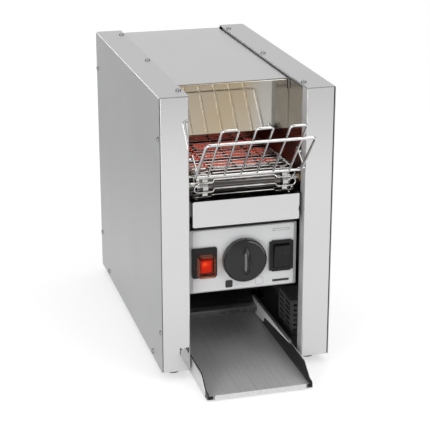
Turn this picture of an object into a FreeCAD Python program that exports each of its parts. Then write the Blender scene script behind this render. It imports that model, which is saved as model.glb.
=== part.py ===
import FreeCAD, Part
import math
import os

from FreeCAD import Vector

# A counter-top conveyor toaster for one column of bread. Millimetres, +Z up,
# the operator stands on the -Y side. The origin is under the middle of the
# whole toaster, on the surface that it stands on.

# General
overrun = 4.0
tiny = 1e-6
full_turn = 360.0
right_angle = 90.0

# Sheets and the gaps between folded pieces
cover_sheet = 1.0
frame_sheet = 1.2
bend_radius = 1.0
seam_gap = 0.3
running_gap = 0.05
hole_gap = 0.1

# Width: the knob and the two switches stand side by side on the control box,
# and the bread passage over it is as wide as the box and its side gaps
knob_radius = 30.5
power_gap = 7.5
power_width = 35.0
power_edge_gap = 2.5
mode_gap = 6.0
mode_width = 34.0
mode_edge_gap = 5.0
control_side_gap = 4.5
post_width = 40.0
control_half = knob_radius + max(power_gap + power_width + power_edge_gap,
                                 mode_gap + mode_width + mode_edge_gap)
half_opening = control_half + control_side_gap
half_case = half_opening + post_width

# Heights, stacked up from the table
foot_height = 12.0
discharge_height = 104.7
control_height = 90.8
guard_slit = 9.3
guard_height = 36.2
shaft_over_guard = 16.0
bread_slot_height = 38.2
plate_height = 72.5
flange_step = 4.0

# Flat-flex belt and its two shafts
belt_pitch = 12.7
belt_teeth = 8
belt_run_pitches = 23
belt_edge_gap = 8.0
belt_wire_radius = 1.0
belt_radius = belt_pitch / (2 * math.sin(math.pi / belt_teeth))
belt_apothem = belt_radius * math.cos(math.pi / belt_teeth)
belt_half_width = half_opening - belt_edge_gap

case_bottom = foot_height
control_bottom = case_bottom + discharge_height
control_top = control_bottom + control_height
guard_bottom = control_top + guard_slit
guard_top = guard_bottom + guard_height
shaft_z = guard_top + shaft_over_guard
belt_top = shaft_z + belt_apothem
plate_bottom = belt_top + bread_slot_height
panel_top = plate_bottom + plate_height
case_top = panel_top + flange_step

# Depths, measured back from the face of the front posts
front_shaft_setback = 27.6
toast_fall_depth = 106.3
shaft_spacing = belt_run_pitches * belt_pitch
case_depth = front_shaft_setback + shaft_spacing + toast_fall_depth
plate_setback = 76.0
post_return = 18.0
post_side_return = 15.0
control_setback = 18.5
control_depth = 147.0

# What stands out of the case, in front and behind
tray_reach = 78.0
rack_reach = 73.0
rack_wire = 3.0
gland_reach = 20.0
front_reach = max(tray_reach, rack_reach + rack_wire / 2)
front_y = (front_reach - case_depth - gland_reach) / 2
rear_y = front_y + case_depth
front_shaft_y = front_y + front_shaft_setback
rear_shaft_y = front_shaft_y + shaft_spacing
wall_front = front_y + post_return + seam_gap
flank_inside = half_case - cover_sheet - seam_gap
under_flange = case_top - cover_sheet - seam_gap

# Inner walls
wall_flange = 20.0
wall_foot = 14.0
wall_rear_gap = 18.0
wall_leg_setback = 215.0
wall_corner_radius = 14.0
wall_rear = rear_y - wall_rear_gap
wall_outside = half_opening + frame_sheet

# Top panel and feed plate
panel_side_depth = 15.0
plate_top_return = 14.0
plate_hem = 5.0

# Base
base_side_height = 15.0
foot_radius = 11.5
foot_top_radius = 10.5
foot_chamfer = 1.5
foot_stud_radius = 2.5
foot_stud_rise = 5.0
foot_inset_x = 22.0
foot_inset_y = 30.3

# Rear panel and its air slots
rear_side_return = 15.0
slot_height = 4.0
slot_length = 24.0
slot_pitch = 10.0
rear_slot_count = 6
rear_slot_drop = 90.0
side_slot_count = 5
side_slot_length = 40.0

# Pan-head screws of the covers
screw_head_radius = 4.0
screw_head_height = 2.2
screw_crown_radius = 2.6
screw_radius = 1.9
screw_length = 5.0
screw_from_corner = 57.0
screw_from_edge = 7.5
top_screw_from_inside = 6.0
top_screw_end_inset = 32.0

# Roller, sprockets and bearings
shaft_radius = 4.0
shaft_overhang = 5.0
bush_flange_radius = 9.0
bush_radius = 7.0
bush_flange = 2.0
bush_length = 8.0
roller_radius = 12.0
roller_wall = 1.5
roller_end_gap = 0.5
sprocket_width = 7.0
sprocket_from_wall = 24.5
sprocket_offset = half_opening - sprocket_from_wall
tooth_rise = 2.0
pocket_gap = 0.35
hub_radius = 10.0
hub_length = 6.0

# Belt strand, seen from above: a long middle span, a Z-bend to each side and
# an end hook that passes over the next strand
strand_sides = 6
z_bend_from_wall = 37.5
z_bend_offset = half_opening - z_bend_from_wall
z_bend_length = 2.5
z_bend_share = 0.35
hook_start = 3.0
hook_back = 7.0
hook_out_share = 0.5
hook_over_share = 1.08
hook_out_height = 0.3
hook_over_height = 2.75

# Drive chain, gear motor and chain sprockets
chain_pitch = 9.525
chain_teeth = 12
chain_run_pitches = 12
chain_angle = 50.0
chain_roller_radius = 2.6
chain_inner_width = 4.6
chain_plate = 0.9
chain_plate_gap = 0.15
chain_plate_half = 3.4
chain_plate_end = 3.6
chain_from_wall = 9.8
chain_centre = wall_outside + chain_from_wall
chain_hub_radius = 9.0
chain_hub_length = 5.0
chain_tooth_rise = 2.2
chain_radius = chain_pitch / (2 * math.sin(math.pi / chain_teeth))
chain_span = chain_run_pitches * chain_pitch
motor_y = front_shaft_y + chain_span * math.cos(math.radians(chain_angle))
motor_z = shaft_z - chain_span * math.sin(math.radians(chain_angle))
gearbox_length = 60.0
gearbox_height = 46.0
gearbox_width = 22.0
gearbox_corner = 6.0
motor_stack = 26.0
motor_stack_length = 48.0
motor_stack_height = 40.0
motor_coil = 34.0
motor_coil_height = 16.0
motor_cap_radius = 11.0
motor_cap_length = 8.0
motor_screw_radius = 1.5
motor_screw_head_radius = 3.0
motor_screw_head_height = 2.0
motor_screw_length = 7.0
motor_shaft_hold = 16.0
motor_shaft_gap = 1.0

# Heating elements
tube_radius = 5.5
tube_count = 4
tube_first_setback = 106.0
tube_spacing = 48.0
upper_tube_rise = 46.0
lower_tube_drop = 16.0
tube_hole_gap = 0.5
end_block = 15.0
end_block_length = 9.0
end_block_stud_radius = 1.6
end_block_stud = 6.0

# Reflectors over and under the tubes
reflector_gap = 6.0
reflector_overhang = 20.0
reflector_rim = 9.0
reflector_slant = 7.0
reflector_side_gap = 0.3

# Wire rack under the top run of the belt
support_wire = 2.0
support_gap = 0.5
support_from_wall = 46.0
support_offset = half_opening - support_from_wall
support_count = 3
support_end_gap = 9.0
cross_inset = 42.0

# Front guard over the roller
guard_setback = 4.0
guard_side_gap = 5.0
guard_depth = 26.0
guard_corner = 3.0
guard_ear_inset = 7.0
guard_notch = 2.5
guard_notch_height = 7.0

# Control box and its overlay plate
control_corner = 1.5
control_ear_setback = 45.0
control_ear_height = 16.0
overlay_sheet = 0.5
overlay_margin = 4.0
overlay_edge = 1.4
overlay_corner = 2.0
controls_height = 44.3

# Speed knob and its regulator
knob_rim = 2.5
knob_face_radius = knob_radius - knob_rim
knob_depth = 11.0
knob_dome = 1.8
knob_wall = 2.2
knob_clearance = 1.0
knob_boss_radius = 7.0
knob_notch = 1.6
grip_length = 41.0
grip_crest = 2.6
grip_scoop = 10.5
grip_height = 11.0
grip_crown = 5.0
dial_shaft_radius = 3.0
dial_bush_radius = 5.0
regulator_size = 30.0
regulator_depth = 24.0
nut_radius = 8.0
nut_height = 2.5

# Power switch: bezel, lit rocker and clear boot
switch_bezel = 3.0
switch_wall = 1.5
switch_depth = 24.0
switch_fit = 0.25
power_height = 43.0
power_corner = 3.0
power_shift = 1.8
power_drop = 4.0
power_opening_width = 18.0
power_opening_height = 23.0
boot_width = 23.0
boot_height = 30.0
boot_depth = 10.0
boot_wall = 1.0
boot_corner = 5.0
boot_lip = 0.8

# Bread mode switch: bezel with notched corners and a plain rocker
mode_height = 45.0
mode_notch = 3.5
mode_opening_width = 23.0
mode_opening_height = 35.0

# Rockers turn on two short trunnions
rocker_tilt = 7.0
rocker_side_gap = 0.4
rocker_end_gap = 1.3
rocker_proud = 6.0
rocker_dip = 1.4
rocker_back = 5.0
rocker_belly = 7.5
trunnion_radius = 1.5
trunnion_length = 1.2
pivot_depth = 2.4

# Feed rack of welded wire
rack_bar = 4.0
rack_bar_z_over_shaft = 20.0
rack_bar_setback = -3.0
rack_side_gap = 6.0
rack_bar_half = half_opening - rack_side_gap
rack_height = 81.5
rack_loop_count = 3
rack_loop_pitch = 44.8
rack_loop_width = 22.4
rack_bend = 5.0
rack_arm_inset = 1.5
rack_arm_half = rack_bar_half - rack_arm_inset
rack_arm_share = 0.765
rack_arm_lift = 4.0
rack_tail = 4.4
hook_root_share = 0.16
hook_peak_setback = 14.0
hook_peak_rise = 25.5
hook_tip_run = 7.0
hook_tip_drop = 6.5
hook_bend = 2.0
stud_radius = 2.5
stud_past_hook = 0.5
stud_under_hook = 5.6
stud_before_hook = 0.8
stop_radius = 1.6

# Toast tray, its dark side guides and runners
tray_offset = -3.0
tray_side_gap = 5.5
tray_width = 2 * (half_opening - tray_side_gap)
tray_sheet = 1.0
tray_drop = 10.0
tray_wall_top = 14.0
tray_back_setback = 200.0
tray_lip = 7.0
tray_lip_inset = 10.5
tray_lip_half = tray_width / 2 - tray_lip_inset
tray_step_setback = -42.0
tray_step_end = -64.0
tray_step_low = -1.0
tray_step_bend = 9.0
tray_corner = 4.0
tray_flange = 2.0
tray_flange_front = 24.0
tray_wall_front = -66.0
side_guide_sheet = 1.5
side_guide_gap = 0.2
side_guide_fold = 7.0
runner_gap = 0.8
runner_foot = 9.0
well_back_gap = 6.0

# Return chute and the toast guide beside its mouth
chute_back_gap = 10.0
chute_top_rise = 6.0
chute_knee = 150.0
chute_mouth_setback = 168.0
chute_mouth = 9.0
chute_lip = 8.0
chute_apron = 16.0
chute_apron_rise = 1.5
chute_apron_bend = 20.0
chute_bend = 95.0
chute_side_gap = 0.3
chute_tray_gap = 1.0
chute_narrow_past = 4.0
finger_side_gap = 0.6
finger_tip_setback = 13.0
finger_tip = 16.0
finger_shelf_setback = 132.0
finger_shelf = 6.0
finger_low_setback = 138.0
finger_low = -4.0
finger_back_setback = 178.0
finger_floor_gap = 2.0
finger_over_lip = 0.5
finger_hold = 3.0
finger_sheet = 1.2

# Cooling fan in its slotted box, low in the right compartment
fan_size = 50.0
fan_depth = 20.0
fan_box_sheet = 1.0
fan_box_setback = 69.0
fan_box_side_gap = 2.0
fan_box_top_gap = 3.0
fan_box_air_gap = 9.0
fan_box_length = fan_size + 2 * (fan_box_side_gap + fan_box_sheet)
fan_box_height = fan_size + fan_box_top_gap + fan_box_sheet
fan_slot_rows = 6
fan_slot_columns = 2
fan_slot_share = 0.36
fan_slot_width = 3.2
fan_corner = 4.0
fan_bore_gap = 2.0
fan_hub_radius = 11.0
fan_blade_count = 7
fan_blade_thickness = 1.2
fan_blade_angle = 40.0
fan_tip_gap = 1.0
fan_strut = 3.0
fan_pin_radius = 1.5
fan_end_gap = 2.0

# Electrical pieces in the left compartment, and the cord inlet
terminal_length = 50.0
terminal_width = 20.0
terminal_height = 15.0
terminal_ways = 3
terminal_wall = 2.0
terminal_setback = 330.0
cutout_radius = 8.0
cutout_height = 9.0
cutout_flange = 1.2
cutout_flange_length = 30.0
cutout_setback = 200.0
cutout_blade = 6.0
gland_from_side = 22.0
gland_x = gland_from_side - half_case
gland_rise = 38.0
gland_radius = 9.0
gland_bore = 4.0
gland_thread_radius = 7.5
gland_flange = 3.0
gland_flange_radius = 11.0
gland_nose_radius = 6.5
gland_inside = 12.0
gland_nut_width = 4.0
gland_nut_radius = 11.0


# Helpers for outlines and folded sheet


def on_plane(plane, at, a, b):
    """A point of a flat drawing, placed square to the named axis."""
    if plane == "x":
        return Vector(at, a, b)
    if plane == "y":
        return Vector(a, at, b)
    return Vector(a, b, at)


def round_corner(before, corner, after, radius):
    """Where an arc of this radius starts, passes and ends at a corner."""
    back = (before[0] - corner[0], before[1] - corner[1])
    ahead = (after[0] - corner[0], after[1] - corner[1])
    back_length = math.hypot(*back)
    ahead_length = math.hypot(*ahead)
    back = (back[0] / back_length, back[1] / back_length)
    ahead = (ahead[0] / ahead_length, ahead[1] / ahead_length)
    middle = (back[0] + ahead[0], back[1] + ahead[1])
    size = math.hypot(*middle)
    if radius < tiny or size < tiny:
        return None
    half = math.acos(max(-1.0, min(1.0, back[0] * ahead[0] + back[1] * ahead[1]))) / 2
    cut = min(radius / math.tan(half), 0.48 * back_length, 0.48 * ahead_length)
    radius = cut * math.tan(half)
    reach = radius / math.sin(half) - radius
    start = (corner[0] + back[0] * cut, corner[1] + back[1] * cut)
    through = (corner[0] + middle[0] / size * reach, corner[1] + middle[1] / size * reach)
    end = (corner[0] + ahead[0] * cut, corner[1] + ahead[1] * cut)
    return start, through, end


def outline(points, radii, plane, at):
    """A closed face through the points, each corner rounded by its radius."""
    count = len(points)
    if not isinstance(radii, (list, tuple)):
        radii = [radii] * count
    corners = []
    for i, point in enumerate(points):
        arc = round_corner(points[i - 1], point, points[(i + 1) % count], radii[i])
        corners.append(arc or (point, None, point))
    edges = []
    for i, (start, through, end) in enumerate(corners):
        here = on_plane(plane, at, *start)
        leave = on_plane(plane, at, *end)
        if through:
            edges.append(Part.Arc(here, on_plane(plane, at, *through), leave).toShape())
        arrive = on_plane(plane, at, *corners[(i + 1) % count][0])
        if leave.distanceToPoint(arrive) > tiny:
            edges.append(Part.LineSegment(leave, arrive).toShape())
    return Part.Face(Part.Wire(edges))


def plate(points, radii, plane, start, end):
    """The outline made solid from start to end along its plane's axis."""
    face = outline(points, radii, plane, start)
    return face.extrude(on_plane(plane, end - start, 0, 0))


def folded(points, thickness, side, plane, start, end, bends=bend_radius):
    """A sheet folded along a path, on its left (side 1) or right (side -1)."""
    count = len(points)
    directions = []
    for a, b in zip(points, points[1:]):
        length = math.hypot(b[0] - a[0], b[1] - a[1])
        directions.append(((b[0] - a[0]) / length, (b[1] - a[1]) / length))
    if not isinstance(bends, (list, tuple)):
        bends = [bends] * count
    near, far, near_radii, far_radii = [], [], [], []
    for i, point in enumerate(points):
        arrive = directions[max(i - 1, 0)]
        leave = directions[min(i, count - 2)]
        turn = (arrive[0] * leave[1] - arrive[1] * leave[0]) * side
        spread = 1 + arrive[0] * leave[0] + arrive[1] * leave[1]
        shift_a = -(arrive[1] + leave[1]) * side * thickness / spread
        shift_b = (arrive[0] + leave[0]) * side * thickness / spread
        near.append(point)
        far.append((point[0] + shift_a, point[1] + shift_b))
        ends = i in (0, count - 1)
        near_radii.append(0 if ends else bends[i] + (thickness if turn > 0 else 0))
        far_radii.append(0 if ends else bends[i] + (0 if turn > 0 else thickness))
    return plate(near + far[::-1], near_radii + far_radii[::-1], plane, start, end)


def box(x, y, z):
    """A block between the low and high values of each axis."""
    return Part.makeBox(x[1] - x[0], y[1] - y[0], z[1] - z[0], Vector(x[0], y[0], z[0]))


def bar(axis, a, b, radius, start, end):
    """A round bar along an axis, at a and b on the two others."""
    return Part.makeCylinder(radius, end - start, on_plane(axis, start, a, b),
                             on_plane(axis, 1, 0, 0))


def turned(points, axis, a, b):
    """A turned piece: points are radius and place along the axis at a, b."""
    if axis == "x":
        drawn = [Vector(along, a + radius, b) for radius, along in points]
    elif axis == "y":
        drawn = [Vector(a + radius, along, b) for radius, along in points]
    else:
        drawn = [Vector(a + radius, b, along) for radius, along in points]
    face = Part.Face(Part.makePolygon(drawn + drawn[:1]))
    return face.revolve(on_plane(axis, 0, a, b), on_plane(axis, 1, 0, 0), full_turn)


def rectangle(half_a, half_b, a=0.0, b=0.0):
    """The corners of a rectangle about a middle point."""
    return [(a - half_a, b - half_b), (a + half_a, b - half_b),
            (a + half_a, b + half_b), (a - half_a, b + half_b)]


def mirrored(shape):
    """The same piece for the other side of the toaster."""
    return shape.mirror(Vector(0, 0, 0), Vector(1, 0, 0))


def both_sides(shape):
    return [shape, mirrored(shape)]


def fused(shapes):
    whole = shapes[0]
    for shape in shapes[1:]:
        whole = whole.fuse(shape)
    return whole.removeSplitter()


def bent_wire(points, bend, radius):
    """Round wire along straight runs with an arc at every corner."""
    edges = []
    last = points[0]
    for before, corner, after in zip(points, points[1:], points[2:]):
        back = (before - corner).normalize()
        ahead = (after - corner).normalize()
        half = back.getAngle(ahead) / 2
        cut = bend / math.tan(half)
        middle = (back + ahead).normalize()
        start = corner + back * cut
        through = corner + middle * (bend / math.sin(half) - bend)
        end = corner + ahead * cut
        edges.append(Part.LineSegment(last, start).toShape())
        edges.append(Part.Arc(start, through, end).toShape())
        last = end
    edges.append(Part.LineSegment(last, points[-1]).toShape())
    path = Part.Wire(edges)
    section = Part.Wire(Part.makeCircle(radius, points[0], points[1] - points[0]))
    return path.makePipeShell([section], True, False)


# Enclosure


def screw_places():
    """Each cover screw: the seat of its head and the way that it points out."""
    places = []
    heights = (case_bottom + screw_from_corner, case_top - screw_from_corner)
    depths = (front_y + screw_from_corner, rear_y - screw_from_corner)
    top_depths = (front_y + top_screw_end_inset, front_y + case_depth / 2,
                  rear_y - top_screw_end_inset)
    for side in (-1, 1):
        out = Vector(side, 0, 0)
        for y in (front_y + screw_from_edge, rear_y - screw_from_edge):
            places += [(Vector(side * half_case, y, z), out) for z in heights]
        for y in depths:
            places.append((Vector(side * half_case, y, case_bottom + screw_from_edge), out))
        for y in top_depths:
            x = side * (half_opening + top_screw_from_inside)
            places.append((Vector(x, y, case_top), Vector(0, 0, 1)))
    return places


def cover_screws():
    screws = []
    for seat, out in screw_places():
        head = Part.makeCone(screw_head_radius, screw_crown_radius, screw_head_height, seat, out)
        shank = Part.makeCylinder(screw_radius, screw_length, seat, out * -1)
        screws.append(head.fuse(shank))
    return screws


def drilled(shape):
    """The piece with the holes of the cover screws that reach it."""
    drills = [Part.makeCylinder(screw_radius + hole_gap, 2 * screw_length,
                                seat - out * screw_length, out)
              for seat, out in screw_places()]
    return shape.cut(Part.makeCompound(drills))


def side_cover():
    """Left cover: the side panel and the flange over its compartment."""
    path = [(-half_case, case_bottom), (-half_case, case_top), (-half_opening, case_top)]
    return folded(path, cover_sheet, -1, "y", front_y, rear_y)


def left_side_cover():
    return drilled(side_cover())


def slots(plane, at, depth, a, b, count, length, height, pitch):
    """A column of air slots through a sheet that is square to the plane's axis."""
    cuts = [plate(rectangle(length / 2, height / 2, a, b + i * pitch), 0, plane,
                  at - depth, at + depth) for i in range(count)]
    return Part.makeCompound(cuts)


def right_side_cover():
    middle_y = front_y + fan_box_setback + fan_box_length / 2
    stack = (side_slot_count - 1) * slot_pitch
    low_z = case_bottom + fan_box_height / 2 - stack / 2
    air = slots("x", half_case, overrun, middle_y, low_z, side_slot_count,
                side_slot_length, slot_height, slot_pitch)
    return drilled(mirrored(side_cover())).cut(air)


def front_post():
    """Left front post: a channel with the polished face towards the operator."""
    path = [(-flank_inside, front_y + post_side_return), (-flank_inside, front_y),
            (-half_opening, front_y), (-half_opening, front_y + post_return)]
    return folded(path, cover_sheet, 1, "z", case_bottom, under_flange)


def left_front_post():
    return drilled(front_post())


def right_front_post():
    return drilled(mirrored(front_post()))


def inner_wall():
    """Left wall of the bread passage, with a flange up top and a foot below."""
    low = case_bottom + frame_sheet
    high = case_top - cover_sheet
    path = [(-half_opening - wall_foot, low), (-half_opening, low), (-half_opening, high),
            (-half_opening - wall_flange, high)]
    wall = folded(path, frame_sheet, 1, "y", wall_front, wall_rear)
    leg = front_y + wall_leg_setback
    notch = [(wall_front - overrun, low - overrun), (leg, low - overrun),
             (leg, control_bottom), (wall_front - overrun, control_bottom)]
    radii = [0, 0, wall_corner_radius, 0]
    wall = wall.cut(plate(notch, radii, "x", -half_case, 0))
    holes = []
    for y in (front_shaft_y, rear_shaft_y):
        holes.append(bar("x", y, shaft_z, bush_radius + running_gap, -half_case, 0))
    for y, z in tube_places():
        holes.append(bar("x", y, z, tube_radius + tube_hole_gap, -half_case, 0))
    for y in cross_places():
        holes.append(bar("x", y, cross_z(), support_wire + hole_gap, -half_case, 0))
    return wall.cut(Part.makeCompound(holes))


def left_inner_wall():
    return drilled(inner_wall())


def right_inner_wall():
    shaft_hole = bar("x", motor_y, motor_z, shaft_radius + motor_shaft_gap, 0, half_case)
    return drilled(mirrored(inner_wall())).cut(shaft_hole)


def top_panel():
    side = half_opening - seam_gap
    low = panel_top - panel_side_depth
    path = [(-side, low), (-side, panel_top), (side, panel_top), (side, low)]
    return folded(path, cover_sheet, -1, "y", front_y + plate_setback, rear_y - cover_sheet)


def feed_plate():
    """Polished plate that turns the heat back, over the mouth of the belt."""
    face_y = front_y + plate_setback
    high = panel_top - cover_sheet
    path = [(face_y + plate_top_return, high), (face_y, high),
            (face_y, plate_bottom), (face_y + plate_hem, plate_bottom)]
    side = half_opening - seam_gap
    sheet = folded(path, cover_sheet, 1, "x", -side, side)
    # Room at the upper corners for the folded sides of the top panel
    corner = box((side - cover_sheet - bend_radius - seam_gap, side + overrun),
                 (face_y - overrun, face_y + plate_top_return + overrun),
                 (panel_top - panel_side_depth - seam_gap, panel_top + overrun))
    for part in both_sides(corner):
        sheet = sheet.cut(part)
    return sheet


def rear_panel():
    low = case_bottom + frame_sheet
    path = [(-flank_inside, rear_y - rear_side_return), (-flank_inside, rear_y),
            (flank_inside, rear_y), (flank_inside, rear_y - rear_side_return)]
    panel = folded(path, cover_sheet, -1, "z", low, under_flange)
    step = box((-half_opening, half_opening), (rear_y - 2 * cover_sheet, rear_y + overrun),
               (panel_top, case_top))
    panel = panel.cut(step)
    column = half_opening + post_width / 2
    for x in (-column, column):
        air = slots("y", rear_y, overrun, x, case_top - rear_slot_drop, rear_slot_count,
                    slot_length, slot_height, slot_pitch)
        panel = panel.cut(air)
    inlet = bar("y", gland_x, case_bottom + gland_rise, gland_thread_radius + hole_gap,
                rear_y - 2 * overrun, rear_y + overrun)
    return drilled(panel).cut(inlet)


def base_plate():
    """Floor of the case, open in the middle where the toast tray hangs."""
    high = case_bottom + base_side_height
    path = [(-flank_inside, high), (-flank_inside, case_bottom),
            (flank_inside, case_bottom), (flank_inside, high)]
    plate_back = rear_y - cover_sheet
    base = folded(path, frame_sheet, 1, "y", wall_front, plate_back)
    flank = box((flank_inside - 2 * frame_sheet, half_case),
                (rear_y - rear_side_return - seam_gap, rear_y),
                (case_bottom + frame_sheet, high + overrun))
    for part in both_sides(flank):
        base = base.cut(part)
    well_left, well_right = well_sides()
    well = [(well_left, wall_front - overrun), (well_right, wall_front - overrun),
            (well_right, well_back()), (well_left, well_back())]
    base = base.cut(plate(well, [0, 0, tray_corner, tray_corner], "z",
                          case_bottom - overrun, case_bottom + overrun))
    studs = [bar("z", x, y, foot_stud_radius + hole_gap, 0, case_bottom + overrun)
             for x, y in foot_places()]
    return drilled(base).cut(Part.makeCompound(studs))


def well_sides():
    """Left and right edges of the opening in the floor."""
    half = tray_width / 2 + runner_gap
    return tray_offset - half, tray_offset + half


def well_back():
    return front_y + tray_back_setback + well_back_gap


def foot_places():
    x = half_case - foot_inset_x
    return [(side * x, y) for side in (-1, 1)
            for y in (front_y + foot_inset_y, rear_y - foot_inset_y)]


def rubber_feet():
    profile = [(0, 0), (foot_radius - foot_chamfer, 0), (foot_radius, foot_chamfer),
               (foot_top_radius, foot_height), (foot_stud_radius, foot_height),
               (foot_stud_radius, foot_height + foot_stud_rise),
               (0, foot_height + foot_stud_rise)]
    return [turned(profile, "z", x, y) for x, y in foot_places()]


# Belt, roller and sprockets


def tooth_wheel(teeth, pitch_radius, pocket_radius, tip_radius, phase):
    """Outline of a sprocket: a round pocket at each pitch point."""
    edges = []
    step = 2 * math.pi / teeth
    for i in range(teeth):
        angle = phase + i * step
        centre = (pitch_radius * math.cos(angle), pitch_radius * math.sin(angle))
        points = []
        for turn in (-1, 0, 1):
            way = angle + math.pi + turn * math.pi / 2
            points.append((centre[0] + pocket_radius * math.cos(way),
                           centre[1] + pocket_radius * math.sin(way)))
        edges.append(points[::-1])
    outline_edges = []
    half_tip = step / 6
    for i in range(teeth):
        first, through, last = edges[i]
        outline_edges.append(Part.Arc(Vector(0, *first), Vector(0, *through),
                                      Vector(0, *last)).toShape())
        middle = phase + (i + 0.5) * step
        tip_a = (tip_radius * math.cos(middle - half_tip), tip_radius * math.sin(middle - half_tip))
        tip_b = (tip_radius * math.cos(middle + half_tip), tip_radius * math.sin(middle + half_tip))
        follow = edges[(i + 1) % teeth][0]
        for a, b in ((last, tip_a), (tip_a, tip_b), (tip_b, follow)):
            outline_edges.append(Part.LineSegment(Vector(0, *a), Vector(0, *b)).toShape())
    return Part.Face(Part.Wire(outline_edges))


def sprocket(teeth, pitch_radius, pocket_radius, rise, phase, y, z, start, end):
    """A toothed disc on the shaft, between two places across the toaster."""
    face = tooth_wheel(teeth, pitch_radius, pocket_radius, pitch_radius + rise, phase)
    face.translate(Vector(start, y, z))
    disc = face.extrude(Vector(end - start, 0, 0))
    return disc.cut(bar("x", y, z, shaft_radius, start - overrun, end + overrun))


def belt_sprockets(y):
    """Two sprockets, each with a hub on its outer side."""
    wheels = []
    half_step = math.pi / belt_teeth
    start = sprocket_offset - sprocket_width / 2
    end = sprocket_offset + sprocket_width / 2
    disc = sprocket(belt_teeth, belt_radius, belt_wire_radius + pocket_gap, tooth_rise,
                    half_step, y, shaft_z, start, end)
    hub = bar("x", y, shaft_z, hub_radius, end, end + hub_length)
    hub = hub.cut(bar("x", y, shaft_z, shaft_radius, start, end + 2 * hub_length))
    return both_sides(fused([disc, hub]))


def front_sprockets():
    return belt_sprockets(front_shaft_y)


def rear_sprockets():
    return belt_sprockets(rear_shaft_y)


def roller(y):
    """A tube between the sprockets, closed by an end disc at each side."""
    half = sprocket_offset - sprocket_width / 2 - roller_end_gap
    inner = roller_radius - roller_wall
    profile = [(shaft_radius, -half), (roller_radius, -half), (roller_radius, half),
               (shaft_radius, half), (shaft_radius, half - roller_wall),
               (inner, half - roller_wall), (inner, roller_wall - half),
               (shaft_radius, roller_wall - half)]
    return turned(profile, "x", y, shaft_z)


def front_roller():
    return roller(front_shaft_y)


def rear_roller():
    return roller(rear_shaft_y)


def bush_outside():
    return wall_outside + bush_length - frame_sheet - bush_flange


def front_shaft():
    reach = chain_centre + chain_inner_width / 2 + chain_hub_length
    return bar("x", front_shaft_y, shaft_z, shaft_radius, -bush_outside() - shaft_overhang, reach)


def rear_shaft():
    reach = bush_outside() + shaft_overhang
    return bar("x", rear_shaft_y, shaft_z, shaft_radius, -reach, reach)


def shaft_bushes():
    """Flanged bushes, the flange against the inside of each wall."""
    bushes = []
    bore = shaft_radius + running_gap
    inside = half_opening - bush_flange
    for y in (front_shaft_y, rear_shaft_y):
        profile = [(bore, inside), (bush_flange_radius, inside),
                   (bush_flange_radius, half_opening), (bush_radius, half_opening),
                   (bush_radius, inside + bush_length), (bore, inside + bush_length)]
        bushes += both_sides(turned(profile, "x", y, shaft_z))
    return bushes


def belt_vertices():
    """Where each strand lies, once round: the rear and front wheels and both runs."""
    points = []
    half_step = math.pi / belt_teeth
    reach = belt_radius * math.sin(half_step)
    for i in range(belt_run_pitches + 1):
        points.append((front_shaft_y - reach + i * belt_pitch, shaft_z + belt_apothem))
    for i in range(1, belt_teeth // 2):
        angle = math.pi / 2 - half_step * (2 * i - 1)
        points.append((rear_shaft_y + belt_radius * math.cos(angle),
                       shaft_z + belt_radius * math.sin(angle)))
    back = [(front_shaft_y + rear_shaft_y - y, 2 * shaft_z - z) for y, z in points]
    return points + back


def strand_points(here, there):
    """One strand of the belt, from hook to hook, on the way to the next."""
    y_step = there[0] - here[0]
    z_step = there[1] - here[1]
    out_y = -z_step / belt_pitch
    out_z = y_step / belt_pitch
    edge = belt_half_width - belt_wire_radius
    half = [(z_bend_offset, z_bend_share, 0.0),
            (z_bend_offset + z_bend_length, 0.0, 0.0),
            (edge - hook_start, 0.0, 0.0),
            (edge, hook_out_share, hook_out_height),
            (edge - hook_back, hook_over_share, hook_over_height)]
    places = [(-x, share, rise) for x, share, rise in half[::-1]] + half
    return [Vector(x, here[0] + y_step * share + out_y * rise,
                   here[1] + z_step * share + out_z * rise) for x, share, rise in places]


def faceted_wire(points, radius, sides):
    """A wire of flat facets with mitred corners, as one closed solid."""
    start = (points[1] - points[0]).normalize()
    across = start.cross(Vector(1, 1, 0)).normalize()
    other = start.cross(across)
    rings = []
    ring = []
    for i in range(sides):
        angle = 2 * math.pi * i / sides
        ring.append(points[0] + across * (radius * math.cos(angle))
                    + other * (radius * math.sin(angle)))
    rings.append(ring)
    for i in range(1, len(points)):
        arrive = (points[i] - points[i - 1]).normalize()
        leave = (points[min(i + 1, len(points) - 1)] - points[i])
        leave = leave.normalize() if leave.Length > tiny else arrive
        mitre = (arrive + leave).normalize()
        ring = []
        for corner in rings[-1]:
            run = (points[i] - corner).dot(mitre) / arrive.dot(mitre)
            ring.append(corner + arrive * run)
        rings.append(ring)
    faces = [Part.Face(Part.makePolygon(rings[0] + rings[0][:1])),
             Part.Face(Part.makePolygon(rings[-1] + rings[-1][:1]))]
    for low, high in zip(rings, rings[1:]):
        for i in range(sides):
            j = (i + 1) % sides
            faces.append(Part.Face(Part.makePolygon([low[i], low[j], high[j], high[i], low[i]])))
    solid = Part.Solid(Part.Shell(faces))
    if solid.Volume < 0:
        solid.reverse()
    return solid


def conveyor_belt():
    vertices = belt_vertices()
    strands = []
    for i, here in enumerate(vertices):
        there = vertices[(i + 1) % len(vertices)]
        strands.append(faceted_wire(strand_points(here, there), belt_wire_radius, strand_sides))
    return strands


# Drive chain and motor


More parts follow.
